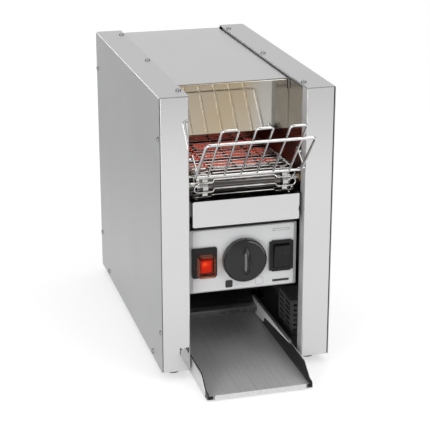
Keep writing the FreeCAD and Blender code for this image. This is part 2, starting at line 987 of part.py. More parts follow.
def chain_sprocket(y, z, hub_side):
    start = chain_centre - chain_inner_width / 2 + chain_plate_gap
    end = chain_centre + chain_inner_width / 2 - chain_plate_gap
    phase = math.radians(right_angle - chain_angle)
    disc = sprocket(chain_teeth, chain_radius, chain_roller_radius + pocket_gap,
                    chain_tooth_rise, phase, y, z, start, end)
    if hub_side > 0:
        hub = bar("x", y, z, chain_hub_radius, end, end + chain_hub_length)
    else:
        hub = bar("x", y, z, chain_hub_radius, start - chain_hub_length, start)
    hub = hub.cut(bar("x", y, z, shaft_radius, start - 2 * chain_hub_length,
                      end + 2 * chain_hub_length))
    return fused([disc, hub])


def shaft_chain_sprocket():
    return chain_sprocket(front_shaft_y, shaft_z, 1)


def motor_chain_sprocket():
    return chain_sprocket(motor_y, motor_z, 1)


def chain_vertices():
    """Pin centres once round the two equal sprockets."""
    slant = math.radians(-chain_angle)
    along = (math.cos(slant), math.sin(slant))
    points = []
    for i in range(chain_run_pitches):
        points.append((front_shaft_y + along[0] * i * chain_pitch - along[1] * chain_radius,
                       shaft_z + along[1] * i * chain_pitch + along[0] * chain_radius))
    for i in range(chain_teeth // 2):
        angle = slant + math.pi / 2 - i * 2 * math.pi / chain_teeth
        points.append((motor_y + chain_radius * math.cos(angle),
                       motor_z + chain_radius * math.sin(angle)))
    back = [(front_shaft_y + motor_y - y, shaft_z + motor_z - z) for y, z in points]
    return points + back


def chain_link(here, there, inside, plate_width):
    """Two side plates with pointed ends, from pin to pin."""
    length = math.hypot(there[0] - here[0], there[1] - here[1])
    along = ((there[0] - here[0]) / length, (there[1] - here[1]) / length)
    flank = (-along[1], along[0])
    end = chain_plate_end
    shape = [(-end, 0), (0, -chain_plate_half), (length, -chain_plate_half),
             (length + end, 0), (length, chain_plate_half), (0, chain_plate_half)]
    points = [(here[0] + a * along[0] + b * flank[0], here[1] + a * along[1] + b * flank[1])
              for a, b in shape]
    plates = []
    for side in (-1, 1):
        near = chain_centre + side * inside
        far = chain_centre + side * (inside + plate_width)
        plates.append(plate(points, 0, "x", min(near, far), max(near, far)))
    return plates


def drive_chain():
    vertices = chain_vertices()
    inner = chain_inner_width / 2 + chain_plate_gap
    outer = inner + chain_plate + chain_plate_gap
    solids = []
    for i, here in enumerate(vertices):
        there = vertices[(i + 1) % len(vertices)]
        inside = inner if i % 2 == 0 else outer
        solids += chain_link(here, there, inside, chain_plate)
        solids.append(bar("x", here[0], here[1], chain_roller_radius,
                          chain_centre - inner, chain_centre + inner))
    return solids


def motor_screw_places():
    """Where the screws pass through the box wall into the gear housing."""
    y_reach = gearbox_length / 2 - gearbox_corner
    z_reach = gearbox_height / 2 - gearbox_corner
    return [(motor_y + y * y_reach, motor_z + z * z_reach) for y in (-1, 1) for z in (-1, 1)]


def motor_drills(start):
    """Cutters for the shaft and the screws of the gear motor."""
    end = control_half + overrun
    cuts = [bar("x", y, z, motor_screw_radius + hole_gap, start, end)
            for y, z in motor_screw_places()]
    return Part.makeCompound(cuts)


def gearbox():
    """Gear housing, bolted flat inside the right wall of the control box."""
    right = control_half - frame_sheet
    left = right - gearbox_width
    body = plate(rectangle(gearbox_length / 2, gearbox_height / 2, motor_y, motor_z),
                 gearbox_corner, "x", left, right)
    bearing = bar("x", motor_y, motor_z, shaft_radius + running_gap,
                  right - motor_shaft_hold - seam_gap, right + overrun)
    return body.cut(bearing).cut(motor_drills(control_half - motor_screw_length - hole_gap))


def drive_motor():
    """Shaded-pole motor: a core, its coil and the rotor's end caps."""
    right = control_half - frame_sheet - gearbox_width
    left = right - motor_stack
    core = box((left, right), (motor_y - motor_stack_length / 2, motor_y + motor_stack_length / 2),
               (motor_z - motor_stack_height / 2, motor_z + motor_stack_height / 2))
    rotor_z = motor_z + motor_stack_height / 6
    cap = bar("x", motor_y, rotor_z, motor_cap_radius, left - motor_cap_length, left)
    middle = (left + right) / 2
    coil_low = motor_z - motor_stack_height / 2 - motor_coil_height / 4
    coil = box((middle - motor_coil / 2, middle + motor_coil / 2),
               (motor_y - motor_coil_height / 2, motor_y + motor_coil_height / 2),
               (coil_low, coil_low + motor_coil_height))
    coil = coil.common(box((left - motor_cap_length, right), (front_y, rear_y), (0, case_top)))
    return fused([core, cap, coil])


def motor_shaft():
    inside = control_half - frame_sheet - motor_shaft_hold
    reach = chain_centre + chain_inner_width / 2 + chain_hub_length
    return bar("x", motor_y, motor_z, shaft_radius, inside, reach)


def motor_screws():
    """Four screws through the box wall into the gear housing."""
    seat = control_half
    screws = []
    for y, z in motor_screw_places():
        head = bar("x", y, z, motor_screw_head_radius, seat, seat + motor_screw_head_height)
        shank = bar("x", y, z, motor_screw_radius, seat - motor_screw_length, seat)
        screws.append(head.fuse(shank))
    return screws


# Heating elements and reflectors


def upper_tube_z():
    return belt_top + upper_tube_rise


def lower_tube_z():
    return belt_top - lower_tube_drop


def tube_rows():
    first = front_y + tube_first_setback
    return [first + i * tube_spacing for i in range(tube_count)]


def tube_places():
    return [(y, z) for z in (upper_tube_z(), lower_tube_z()) for y in tube_rows()]


def tubes(z):
    return [bar("x", y, z, tube_radius, -wall_outside, wall_outside) for y in tube_rows()]


def upper_elements():
    return tubes(upper_tube_z())


def lower_elements():
    return tubes(lower_tube_z())


def element_end_blocks():
    """Ceramic blocks on the outside of the walls, each with a terminal stud."""
    blocks = []
    half = end_block / 2
    for y, z in tube_places():
        block = box((wall_outside, wall_outside + end_block_length), (y - half, y + half),
                    (z - half, z + half))
        stud = bar("x", y, z, end_block_stud_radius, wall_outside + end_block_length,
                   wall_outside + end_block_length + end_block_stud)
        blocks += both_sides(fused([block, stud]))
    return blocks


def reflector(flat_z, rim_way):
    """A shallow trough across the passage, its rims turned towards the tubes."""
    rows = tube_rows()
    low = rows[0] - reflector_overhang
    high = rows[-1] + reflector_overhang
    rim_z = flat_z + rim_way * reflector_rim
    path = [(low - reflector_slant, rim_z), (low, flat_z), (high, flat_z),
            (high + reflector_slant, rim_z)]
    side = half_opening - reflector_side_gap
    return folded(path, cover_sheet, -rim_way, "x", -side, side)


def upper_reflector():
    return reflector(upper_tube_z() + tube_radius + reflector_gap, -1)


def lower_reflector():
    return reflector(lower_tube_z() - tube_radius - reflector_gap / 2, 1)


def cross_z():
    return belt_top - belt_wire_radius - support_gap - 3 * support_wire


def cross_places():
    return front_shaft_y + cross_inset, rear_shaft_y - cross_inset


def belt_support():
    """Welded wires under the top run: long rails on two cross rods."""
    rail_z = cross_z() + 2 * support_wire
    reach = belt_radius + tooth_rise + support_end_gap
    parts = []
    for y in cross_places():
        parts.append(bar("x", y, cross_z(), support_wire, -wall_outside, wall_outside))
    for i in range(support_count):
        x = (i - (support_count - 1) / 2) * support_offset
        parts.append(bar("y", x, rail_z, support_wire, front_shaft_y + reach,
                         rear_shaft_y - reach))
    weld = support_wire / 8
    for part in parts[2:]:
        part.translate(Vector(0, 0, -weld))
    return fused(parts)


# Front guard and control box


def front_guard():
    """Bent sheet over the roller, held by an ear at each wall."""
    side = half_opening - guard_side_gap
    face = front_y + guard_setback
    back = face + guard_depth
    path = [(-side, back), (-side, face), (side, face), (side, back)]
    body = folded(path, cover_sheet, 1, "z", guard_bottom, guard_top)
    middle = (guard_bottom + guard_top) / 2
    shape = plate(rectangle(side, guard_height / 2, 0.0, middle), guard_corner, "y",
                  face - overrun, back + overrun)
    body = body.common(shape)
    notch = box((side - guard_notch, side + overrun), (face - overrun, face + 2 * guard_notch),
                (middle - guard_notch_height, middle))
    body = body.cut(notch)
    ear = box((side - cover_sheet, half_opening), (back - cover_sheet, back),
              (guard_bottom + guard_ear_inset, guard_top - guard_ear_inset))
    return fused([body] + both_sides(ear))


def controls_z():
    return control_bottom + controls_height


def power_x():
    return -(knob_radius + power_gap + power_width / 2)


def mode_x():
    return knob_radius + mode_gap + mode_width / 2


def power_place():
    """Middle of the lit rocker, low and to the right in its bezel."""
    return power_x() + power_shift, controls_z() - power_drop


def mode_place():
    return mode_x(), controls_z()


def switch_holes(start, end, spare):
    """Cutters for the two switches and the dial bush, front to back."""
    cuts = []
    for (x, z), width, height in ((power_place(), power_opening_width, power_opening_height),
                                  (mode_place(), mode_opening_width, mode_opening_height)):
        half_width = width / 2 + switch_wall + spare
        half_height = height / 2 + switch_wall + spare
        cuts.append(box((x - half_width, x + half_width), (start, end),
                        (z - half_height, z + half_height)))
    cuts.append(bar("y", 0, controls_z(), dial_bush_radius + spare, start, end))
    return Part.makeCompound(cuts)


def control_box():
    """Sheet box between the walls, open at the back under its own cover."""
    side = control_half
    front = front_y + control_setback
    back = front_y + control_setback + control_depth
    middle = (control_bottom + control_top) / 2
    outer = plate(rectangle(side, control_height / 2, 0.0, middle), control_corner, "y",
                  front, back)
    inner = box((frame_sheet - side, side - frame_sheet), (front + frame_sheet, back + overrun),
                (control_bottom + frame_sheet, control_top - frame_sheet))
    ear = box((side - frame_sheet / 2, half_opening),
              (front_y + control_ear_setback, front_y + control_ear_setback + frame_sheet),
              (middle - control_ear_height, middle + control_ear_height))
    rear_ear = ear.copy()
    rear_ear.translate(Vector(0, back - front_y - control_ear_setback - frame_sheet, 0))
    shell = fused([outer.cut(inner)] + both_sides(ear) + both_sides(rear_ear))
    shaft_hole = bar("x", motor_y, motor_z, shaft_radius + motor_shaft_gap, 0, side + overrun)
    shell = shell.cut(shaft_hole).cut(motor_drills(side - 2 * frame_sheet))
    return shell.cut(switch_holes(front - overrun, front + overrun, switch_fit))


def control_rear_cover():
    side = control_half - frame_sheet - seam_gap
    back = front_y + control_setback + control_depth
    low = control_bottom + frame_sheet + seam_gap
    high = control_top - frame_sheet - seam_gap
    path = [(back - panel_side_depth, low), (back, low), (back, high),
            (back - panel_side_depth, high)]
    return folded(path, frame_sheet, 1, "x", -side, side)


def overlay_front():
    return front_y + control_setback - overlay_sheet


def control_overlay():
    side = control_half - overlay_margin
    middle = (control_bottom + control_top) / 2
    face = plate(rectangle(side, control_height / 2 - overlay_edge, 0.0, middle),
                 overlay_corner, "y", overlay_front(), front_y + control_setback)
    return face.cut(switch_holes(overlay_front() - overrun, front_y + control_setback + overrun,
                                 switch_fit))


# Switches


def pivot_y():
    return overlay_front() - switch_bezel + pivot_depth


def switch_body(place, bezel, opening_width_here, opening_height_here):
    """Bezel and can of a rocker switch, with a bearing hole at each side."""
    x, z = place
    front = overlay_front() - switch_bezel
    can_width = opening_width_here / 2 + switch_wall
    can_height = opening_height_here / 2 + switch_wall
    can = box((x - can_width, x + can_width), (overlay_front(), overlay_front() + switch_depth),
              (z - can_height, z + can_height))
    hollow = box((x - opening_width_here / 2, x + opening_width_here / 2),
                 (front - overrun, overlay_front() + switch_depth - switch_wall),
                 (z - opening_height_here / 2, z + opening_height_here / 2))
    reach = opening_width_here / 2 - rocker_side_gap + trunnion_length + running_gap
    bearing = bar("x", pivot_y(), z, trunnion_radius + running_gap, x - reach, x + reach)
    return fused([bezel, can]).cut(hollow).cut(bearing)


def rocker(place, opening_width_here, opening_height_here):
    """Rocker with a dished face, tipped so that its lower end is pressed in."""
    x, z = place
    half_width = opening_width_here / 2 - rocker_side_gap
    half_height = opening_height_here / 2 - rocker_end_gap
    y = pivot_y()
    shape = [(y - rocker_proud, z + half_height), (y - rocker_proud + rocker_dip, z),
             (y - rocker_proud, z - half_height), (y + rocker_back, z - half_height),
             (y + rocker_belly, z), (y + rocker_back, z + half_height)]
    body = plate(shape, [1, 0, 1, 0, 0, 0], "x", x - half_width, x + half_width)
    reach = half_width + trunnion_length
    pin = bar("x", y, z, trunnion_radius, x - reach, x + reach)
    whole = fused([body, pin])
    whole.rotate(Vector(x, y, z), Vector(1, 0, 0), rocker_tilt)
    return whole


def power_switch_body():
    front = overlay_front() - switch_bezel
    bezel = plate(rectangle(power_width / 2, power_height / 2, power_x(), controls_z()),
                  power_corner, "y", front, overlay_front())
    return switch_body(power_place(), bezel, power_opening_width, power_opening_height)


def power_rocker():
    return rocker(power_place(), power_opening_width, power_opening_height)


def power_switch_boot():
    """Clear boot over the lit rocker, its rim flat on the bezel."""
    x, z = power_place()
    base = overlay_front() - switch_bezel
    half_width = boot_width / 2
    half_height = boot_height / 2
    radii = [boot_corner / 2, boot_corner / 2, boot_corner, boot_corner]
    rim = plate(rectangle(half_width + boot_lip, half_height + boot_lip, x, z), radii, "y",
                base - boot_wall, base)
    dome = plate(rectangle(half_width, half_height, x, z), radii, "y", base - boot_depth,
                 base - boot_wall)
    front_edges = [edge for edge in dome.Edges
                   if abs(edge.CenterOfMass.y - (base - boot_depth)) < tiny]
    dome = dome.makeFillet(boot_wall, front_edges)
    hollow = plate(rectangle(half_width - boot_wall, half_height - boot_wall, x, z),
                   [radius - boot_wall for radius in radii], "y",
                   base - boot_depth + boot_wall, base + overrun)
    return fused([rim, dome]).cut(hollow)


def mode_switch_body():
    front = overlay_front() - switch_bezel
    x = mode_x()
    z = controls_z()
    half_width = mode_width / 2
    half_height = mode_height / 2
    inner_width = half_width - mode_notch
    inner_height = half_height - mode_notch / 2
    shape = [(-inner_width, -half_height), (inner_width, -half_height),
             (inner_width, -inner_height), (half_width, -inner_height),
             (half_width, inner_height), (inner_width, inner_height),
             (inner_width, half_height), (-inner_width, half_height),
             (-inner_width, inner_height), (-half_width, inner_height),
             (-half_width, -inner_height), (-inner_width, -inner_height)]
    bezel = plate([(x + a, z + b) for a, b in shape], 0, "y", front, overlay_front())
    return switch_body(mode_place(), bezel, mode_opening_width, mode_opening_height)


def mode_rocker():
    return rocker(mode_place(), mode_opening_width, mode_opening_height)


# Speed knob


def knob_back():
    return overlay_front() - knob_clearance


def speed_knob():
    """Hollow round knob with a thin grip whose scooped flanks run into its face."""
    back = knob_back()
    face = back - knob_depth
    z = controls_z()
    cavity = knob_radius - knob_wall
    profile = [(0, face - knob_dome), (knob_face_radius / 2, face - knob_dome * 3 / 4),
               (knob_face_radius, face), (knob_radius, face + knob_dome * 3 / 2),
               (knob_radius, back), (cavity, back), (cavity, face + 2 * knob_wall),
               (0, face + 2 * knob_wall)]
    body = turned(profile, "y", 0, z)
    boss = bar("y", 0, z, knob_boss_radius, face + 2 * knob_wall, back - nut_height)
    half = grip_crest / 2 + grip_scoop
    length = grip_length / 2
    shape = [(0, z - length), (half, z), (0, z + length), (-half, z)]
    grip = plate(shape, [0, length, 0, length], "y", face - grip_height, face + knob_wall)
    crown = plate([(face - grip_height - overrun, z - length),
                   (face - grip_height - overrun, z + length),
                   (face - knob_dome, z + length),
                   (face - grip_height + grip_crown / 2, z + length / 2),
                   (face - grip_height, z), (face - grip_height + grip_crown / 2, z - length / 2),
                   (face - knob_dome, z - length)],
                  [0, 0, 0, length / 2, length / 2, length / 2, 0], "x", -half - overrun,
                  half + overrun)
    grip = grip.cut(crown)
    scoop = bar("z", half, face - grip_height, grip_scoop, z - grip_length, z + grip_length)
    for part in both_sides(scoop):
        grip = grip.cut(part)
    knob = fused([body, boss, grip])
    bore = bar("y", 0, z, dial_shaft_radius, face + knob_wall, back + overrun)
    notch = box((-knob_notch / 2, knob_notch / 2), (face - overrun, back + overrun),
                (z + knob_radius - knob_notch, z + knob_radius + overrun))
    return knob.cut(bore).cut(notch)


def dial_shaft():
    inside = front_y + control_setback + frame_sheet + regulator_depth / 2
    return bar("y", 0, controls_z(), dial_shaft_radius,
               knob_back() - knob_depth + knob_wall, inside)


def speed_regulator():
    """Regulator can behind the panel with its threaded bush and nut in front."""
    z = controls_z()
    seat = front_y + control_setback + frame_sheet
    can = plate(rectangle(regulator_size / 2, regulator_size / 2, 0.0, z), knob_wall, "y",
                seat, seat + regulator_depth)
    bush = bar("y", 0, z, dial_bush_radius, overlay_front() - nut_height, seat)
    bore = bar("y", 0, z, dial_shaft_radius + running_gap, overlay_front() - nut_height,
               seat + regulator_depth / 2 + hole_gap)
    return fused([can, bush]).cut(bore)


def dial_nut():
    z = controls_z()
    corners = [(nut_radius * math.cos(math.pi * i / 3), z + nut_radius * math.sin(math.pi * i / 3))
               for i in range(6)]
    # The nut is thinner than the bush's end, inside the hollow of the knob
    body = plate(corners, 0, "y", overlay_front() - nut_height, overlay_front())
    return body.cut(bar("y", 0, z, dial_bush_radius, overlay_front() - 2 * nut_height,
                        overlay_front() + overrun))


# Feed rack


def rack_bar_place():
    return front_y + rack_bar_setback, shaft_z + rack_bar_z_over_shaft


def lean_point(share, lift=0.0):
    """A point up the leaning face of the rack, lifted off it to the front."""
    y, z = rack_bar_place()
    run = rack_reach + rack_bar_setback
    length = math.hypot(run, rack_height)
    return (y - run * share - lift * rack_height / length,
            z + rack_height * share - lift * run / length)


def feed_rack():
    """Welded wire rack: a bottom bar, leaning loops, a guard frame and two hooks."""
    bar_y, bar_z = rack_bar_place()
    thick = rack_bar / 2
    thin = rack_wire / 2
    tail = Vector(rack_bar_half, bar_y + rack_tail, bar_z)
    right = Vector(rack_bar_half, bar_y, bar_z)
    left = Vector(-rack_bar_half, bar_y, bar_z)
    parts = [bent_wire([tail, right, left, Vector(-rack_bar_half, bar_y + rack_tail, bar_z)],
                       rack_bar * 3 / 4, thick)]
    top_y, top_z = lean_point(1.0)
    for i in range(rack_loop_count):
        middle = (i - (rack_loop_count - 1) / 2) * rack_loop_pitch
        corners = []
        for x in (middle - rack_loop_width / 2, middle + rack_loop_width / 2):
            corners.append([Vector(x, bar_y, bar_z), Vector(x, top_y, top_z)])
        points = corners[0] + corners[1][::-1]
        parts.append(bent_wire(points, rack_bend, thin))
    arm_y, arm_z = lean_point(rack_arm_share, rack_arm_lift)
    low_y, low_z = lean_point(0.0)
    frame = [Vector(-rack_arm_half, low_y, low_z), Vector(-rack_arm_half, arm_y, arm_z),
             Vector(rack_arm_half, arm_y, arm_z), Vector(rack_arm_half, low_y, low_z)]
    parts.append(bent_wire(frame, rack_bend, thick))
    root_y, root_z = arm_point(hook_root_share)
    peak = Vector(rack_arm_half, front_y + hook_peak_setback, bar_z + hook_peak_rise)
    tip = peak + Vector(0, hook_tip_run, -hook_tip_drop)
    hook = bent_wire([Vector(rack_arm_half, root_y, root_z), peak, tip], hook_bend, thin)
    parts += both_sides(hook)
    return fused(parts)


def arm_point(share):
    """A point along the guard frame's arm, from the bottom bar up."""
    low_y, low_z = lean_point(0.0)
    arm_y, arm_z = lean_point(rack_arm_share, rack_arm_lift)
    return low_y + (arm_y - low_y) * share, low_z + (arm_z - low_z) * share


def rack_studs():
    """Studs on the front posts: the hooks hang on one, the tails meet the other."""
    bar_y, bar_z = rack_bar_place()
    hang_y = front_y + hook_peak_setback - stud_before_hook
    hang_z = bar_z + hook_peak_rise - stud_under_hook
    inner = rack_arm_half - rack_wire / 2 - stud_past_hook
    hang = bar("x", hang_y, hang_z, stud_radius, inner, half_opening)
    stop_y = bar_y + rack_tail + seam_gap + stop_radius
    stop = bar("x", stop_y, bar_z, stop_radius, inner, half_opening)
    return both_sides(hang) + both_sides(stop)


# Toast tray


def tray_profile(front, low, high, back):
    """Side of the tray: level at the back, stepping down in an S to the front."""
    step_low = case_bottom + tray_step_low
    return [(back, low), (front, low), (front, step_low),
            (front_y + tray_step_end, step_low), (front_y + tray_step_setback, high),
            (back, high)]


def toast_tray():
    """Folded tray: floor, front lip, two low walls and flanges to slide on."""
    half = tray_width / 2
    low = case_bottom - tray_drop
    high = case_bottom + tray_wall_top
    front = front_y - tray_reach
    back = front_y + tray_back_setback
    floor = plate(rectangle(half, (back - front) / 2, tray_offset, (front + back) / 2),
                  [tray_corner, tray_corner, 0, 0], "z", low, low + tray_sheet)
    lip = plate(rectangle(tray_lip_half, tray_lip / 2, tray_offset, low + tray_lip / 2),
                [0, 0, tray_sheet, tray_sheet], "y", front, front + tray_sheet)
    radii = [0, 0, 0, tray_step_bend, tray_step_bend, 0]
    profile = tray_profile(front_y + tray_wall_front, low, high, back)
    left = tray_offset - half
    right = tray_offset + half
    walls = [plate(profile, radii, "x", left, left + tray_sheet),
             plate(profile, radii, "x", right - tray_sheet, right)]
    # The back lip passes under the pointed guide
    lip_top = low + tray_sheet + finger_floor_gap - finger_over_lip
    back_lip = box((left, right), (back - tray_sheet, back), (low, lip_top))
    flange_front = front_y + tray_flange_front
    flanges = [box((left - tray_flange, left + tray_sheet), (flange_front, back),
                   (high - tray_sheet, high)),
               box((right - tray_sheet, right + tray_flange), (flange_front, back),
                   (high - tray_sheet, high))]
    return fused([floor, lip, back_lip] + walls + flanges)


def tray_side_guides():
    """Dark strips inside the walls, their front ends folded round the corners."""
    half = tray_width / 2 - tray_sheet - side_guide_gap
    low = case_bottom - tray_drop + tray_sheet
    high = case_bottom + tray_wall_top
    front = front_y - tray_reach + tray_sheet + side_guide_gap
    back = front_y + tray_back_setback - tray_sheet - side_guide_gap
    profile = tray_profile(front, low, high, back)
    radii = [0, 0, tray_corner, tray_step_bend, tray_step_bend, 0]
    strip = plate(profile, radii, "x", half - side_guide_sheet, half)
    fold = box((half - side_guide_fold, half - side_guide_sheet / 2),
               (front, front + side_guide_sheet), (low, case_bottom + tray_step_low - tray_corner))
    guide = fused([strip, fold])
    guides = both_sides(guide)
    for guide in guides:
        guide.translate(Vector(tray_offset, 0, 0))
    return guides


def tray_runners():
    """L-shaped strips at the edges of the well, under the tray's flanges."""
    runners = []
    top = case_bottom + tray_wall_top - tray_sheet - running_gap
    low = case_bottom + frame_sheet
    half = tray_width / 2 + runner_gap
    path = [(half + runner_foot, low), (half, low), (half, top)]
    front = front_y + tray_flange_front
    back = front_y + tray_back_setback
    for side in (-1, 1):
        points = [(tray_offset + side * a, b) for a, b in path]
        runners.append(folded(points, frame_sheet, -side, "y", front, back))
    return runners


# Return chute


def return_chute():
    """Curved sheet behind the belt that turns the toast back to the front."""
    high = shaft_z + chute_top_rise
    back = rear_y - chute_back_gap
    mouth = front_y + chute_mouth_setback
    mouth_z = case_bottom + chute_mouth
    apron = mouth + chute_apron
    apron_z = mouth_z + chute_apron_rise
    path = [(back, high), (back, case_bottom + chute_knee), (apron, apron_z), (mouth, mouth_z),
            (mouth, mouth_z - chute_lip)]
    side = half_opening - chute_side_gap
    sheet = folded(path, frame_sheet, 1, "x", -side, side,
                   [0, chute_bend, chute_apron_bend, bend_radius, 0])
    # Between the tray's walls the mouth is narrower
    left = tray_offset - tray_inside() + chute_tray_gap
    narrow_end = front_y + tray_back_setback + chute_narrow_past
    for x in ((-half_opening, left), (finger_x()[0], half_opening)):
        sheet = sheet.cut(box(x, (mouth - overrun, narrow_end), (0, shaft_z)))
    return sheet


def tray_inside():
    """Half the clear width between the tray's side guides."""
    return tray_width / 2 - tray_sheet - side_guide_gap - side_guide_sheet


def finger_x():
    """Faces of the pointed guide, close beside the tray's right side guide."""
    right = tray_offset + tray_inside() - finger_side_gap
    return right - finger_sheet, right


def toast_guide():
    """Pointed guide on the chute's edge: a notched broad end and a long blade."""
    back = front_y + finger_back_setback
    apron = front_y + chute_mouth_setback + chute_apron
    apron_z = case_bottom + chute_mouth + chute_apron_rise
    top = case_bottom + finger_tip
    rise = case_bottom + chute_knee - apron_z
    run = rear_y - chute_back_gap - apron
    tail = apron + (top - apron_z) * run / rise
    shape = [(front_y + finger_tip_setback, top),
             (front_y + finger_shelf_setback, case_bottom + finger_shelf),
             (front_y + finger_low_setback, case_bottom + finger_low),
             (back, case_bottom - tray_drop + tray_sheet + finger_floor_gap),
             (back, apron_z - finger_hold), (apron, apron_z - finger_hold), (tail, top)]
    left, right = finger_x()
    return plate(shape, 0, "x", left, right)


# Cooling fan


def fan_place():
    y = front_y + fan_box_setback + fan_box_length / 2
    z = case_bottom + frame_sheet + fan_size / 2
    return y, z


def fan_right():
    """Right edge of the fan's box, clear of the bend of the floor's side."""
    return flank_inside - frame_sheet - bend_radius - seam_gap


def fan_guard_box():
    """Slotted sheet box round the fan, open towards the right cover."""
    y, z = fan_place()
    right = fan_right()
    left = fan_sides()[0] - fan_box_air_gap
    low = case_bottom + frame_sheet
    outer = box((left, right), (y - fan_box_length / 2, y + fan_box_length / 2),
                (low, low + fan_box_height))
    inner = box((left + fan_box_sheet, right + overrun),
                (y - fan_box_length / 2 + fan_box_sheet, y + fan_box_length / 2 - fan_box_sheet),
                (low - overrun, low + fan_box_height - fan_box_sheet))
    shell = outer.cut(inner)
    length = fan_box_length * fan_slot_share
    pitch = fan_box_height / (fan_slot_rows + 1)
    cuts = []
    for column in range(fan_slot_columns):
        middle = y + (column - (fan_slot_columns - 1) / 2) * fan_box_length * (fan_slot_share + 0.1)
        cuts.append(slots("x", left, fan_box_sheet * 2, middle, low + pitch, fan_slot_rows, length,
                          fan_slot_width, pitch))
    depth_middle = (left + right) / 2
    cuts.append(slots("y", y - fan_box_length / 2, fan_box_sheet * 2, depth_middle, low + pitch,
                      fan_slot_rows, length, fan_slot_width, pitch))
    for cut in cuts:
        shell = shell.cut(cut)
    return shell


def fan_sides():
    """Left and right faces of the fan's frame."""
    return fan_right() - fan_depth, fan_right()


def fan_housing():
    """Square frame with a round bore, and three struts that carry the hub seat."""
    y, z = fan_place()
    left, right = fan_sides()
    frame = plate(rectangle(fan_size / 2, fan_size / 2, y, z), fan_corner, "x", left, right)
    bore = fan_size / 2 - fan_bore_gap
    frame = frame.cut(bar("x", y, z, bore, left - overrun, right + overrun))
    seat = bar("x", y, z, fan_hub_radius, right - fan_strut, right)
    parts = [frame, seat]
    for i in range(3):
        strut = box((right - fan_strut, right), (y - fan_strut / 2, y + fan_strut / 2),
                    (z, z + bore + fan_bore_gap / 2))
        strut.rotate(Vector(0, y, z), Vector(1, 0, 0), i * full_turn / 3)
        parts.append(strut)
    whole = fused(parts)
    return whole.cut(bar("x", y, z, fan_pin_radius + running_gap, right - fan_strut,
                         right + overrun))


def fan_rotor():
    """Hub with slanted blades, turning on a pin in the hub seat."""
    y, z = fan_place()
    left, right = fan_sides()
    start = left + fan_end_gap
    end = right - fan_strut - fan_end_gap / 2
    hub = bar("x", y, z, fan_hub_radius, start, end)
    pin = bar("x", y, z, fan_pin_radius, end, right - fan_end_gap / 4)
    tip = fan_size / 2 - fan_bore_gap - fan_tip_gap
    middle = (start + end) / 2
    chord = (end - start) / math.cos(math.radians(fan_blade_angle)) * 0.8
    parts = [hub, pin]
    for i in range(fan_blade_count):
        blade = box((middle - chord / 2, middle + chord / 2),
                    (y - fan_blade_thickness / 2, y + fan_blade_thickness / 2),
                    (z + fan_hub_radius * 0.8, z + tip))
        blade.rotate(Vector(middle, y, z), Vector(0, 0, 1), fan_blade_angle)
        blade.rotate(Vector(middle, y, z), Vector(1, 0, 0), i * full_turn / fan_blade_count)
        parts.append(blade)
    swept = bar("x", y, z, tip, start, right)
    return fused(parts).common(swept)


# Electrical pieces


def terminal_block():
    """Terminal strip on the floor of the left compartment, with open ways."""
    x = -(half_opening + wall_foot + seam_gap + terminal_width / 2)
    y = front_y + terminal_setback
    low = case_bottom + frame_sheet
    body = box((x - terminal_width / 2, x + terminal_width / 2),
               (y - terminal_length / 2, y + terminal_length / 2), (low, low + terminal_height))
    way = (terminal_length - terminal_wall * (terminal_ways + 1)) / terminal_ways
    for i in range(terminal_ways):
        start = y - terminal_length / 2 + terminal_wall + i * (way + terminal_wall)
        body = body.cut(box((x - terminal_width, x + terminal_width), (start, start + way),
                            (low + terminal_height / 2, low + terminal_height + overrun)))
    return body


def thermal_cutout():
    """Disc thermostat on the outside of the left wall, with two blades."""
    y = front_y + cutout_setback
    z = upper_tube_z() + end_block * 2
    seat = -wall_outside
    flange = box((seat - cutout_flange, seat),
                 (y - cutout_flange_length / 2, y + cutout_flange_length / 2),
                 (z - cutout_radius, z + cutout_radius))
    disc = bar("x", y, z, cutout_radius, seat - cutout_flange - cutout_height,
               seat - cutout_flange)
    parts = [flange, disc]
    for side in (-1, 1):
        place = y + side * cutout_radius / 2
        parts.append(box((seat - cutout_flange - cutout_height - cutout_blade,
                          seat - cutout_flange - cutout_height),
                         (place - cutout_flange, place + cutout_flange),
                         (z - cutout_radius / 3, z + cutout_radius / 3)))
    return fused(parts)


def cord_gland():
    """Hollow gland through the rear panel, its nose towards the cord."""
    z = case_bottom + gland_rise
    profile = [(gland_bore, rear_y - gland_inside), (gland_thread_radius, rear_y - gland_inside),
               (gland_thread_radius, rear_y), (gland_flange_radius, rear_y),
               (gland_flange_radius, rear_y + gland_flange), (gland_radius, rear_y + gland_flange),
               (gland_radius, rear_y + gland_reach / 2),
               (gland_nose_radius, rear_y + gland_reach), (gland_bore, rear_y + gland_reach)]
    return turned(profile, "y", gland_x, z)


def gland_nut():
    z = case_bottom + gland_rise
    start = rear_y - cover_sheet - gland_nut_width
    corners = [(gland_x + gland_nut_radius * math.cos(math.pi * i / 3),
                z + gland_nut_radius * math.sin(math.pi * i / 3)) for i in range(6)]
    body = plate(corners, 0, "y", start, rear_y - cover_sheet)
    return body.cut(bar("y", gland_x, z, gland_thread_radius, start - overrun, rear_y))


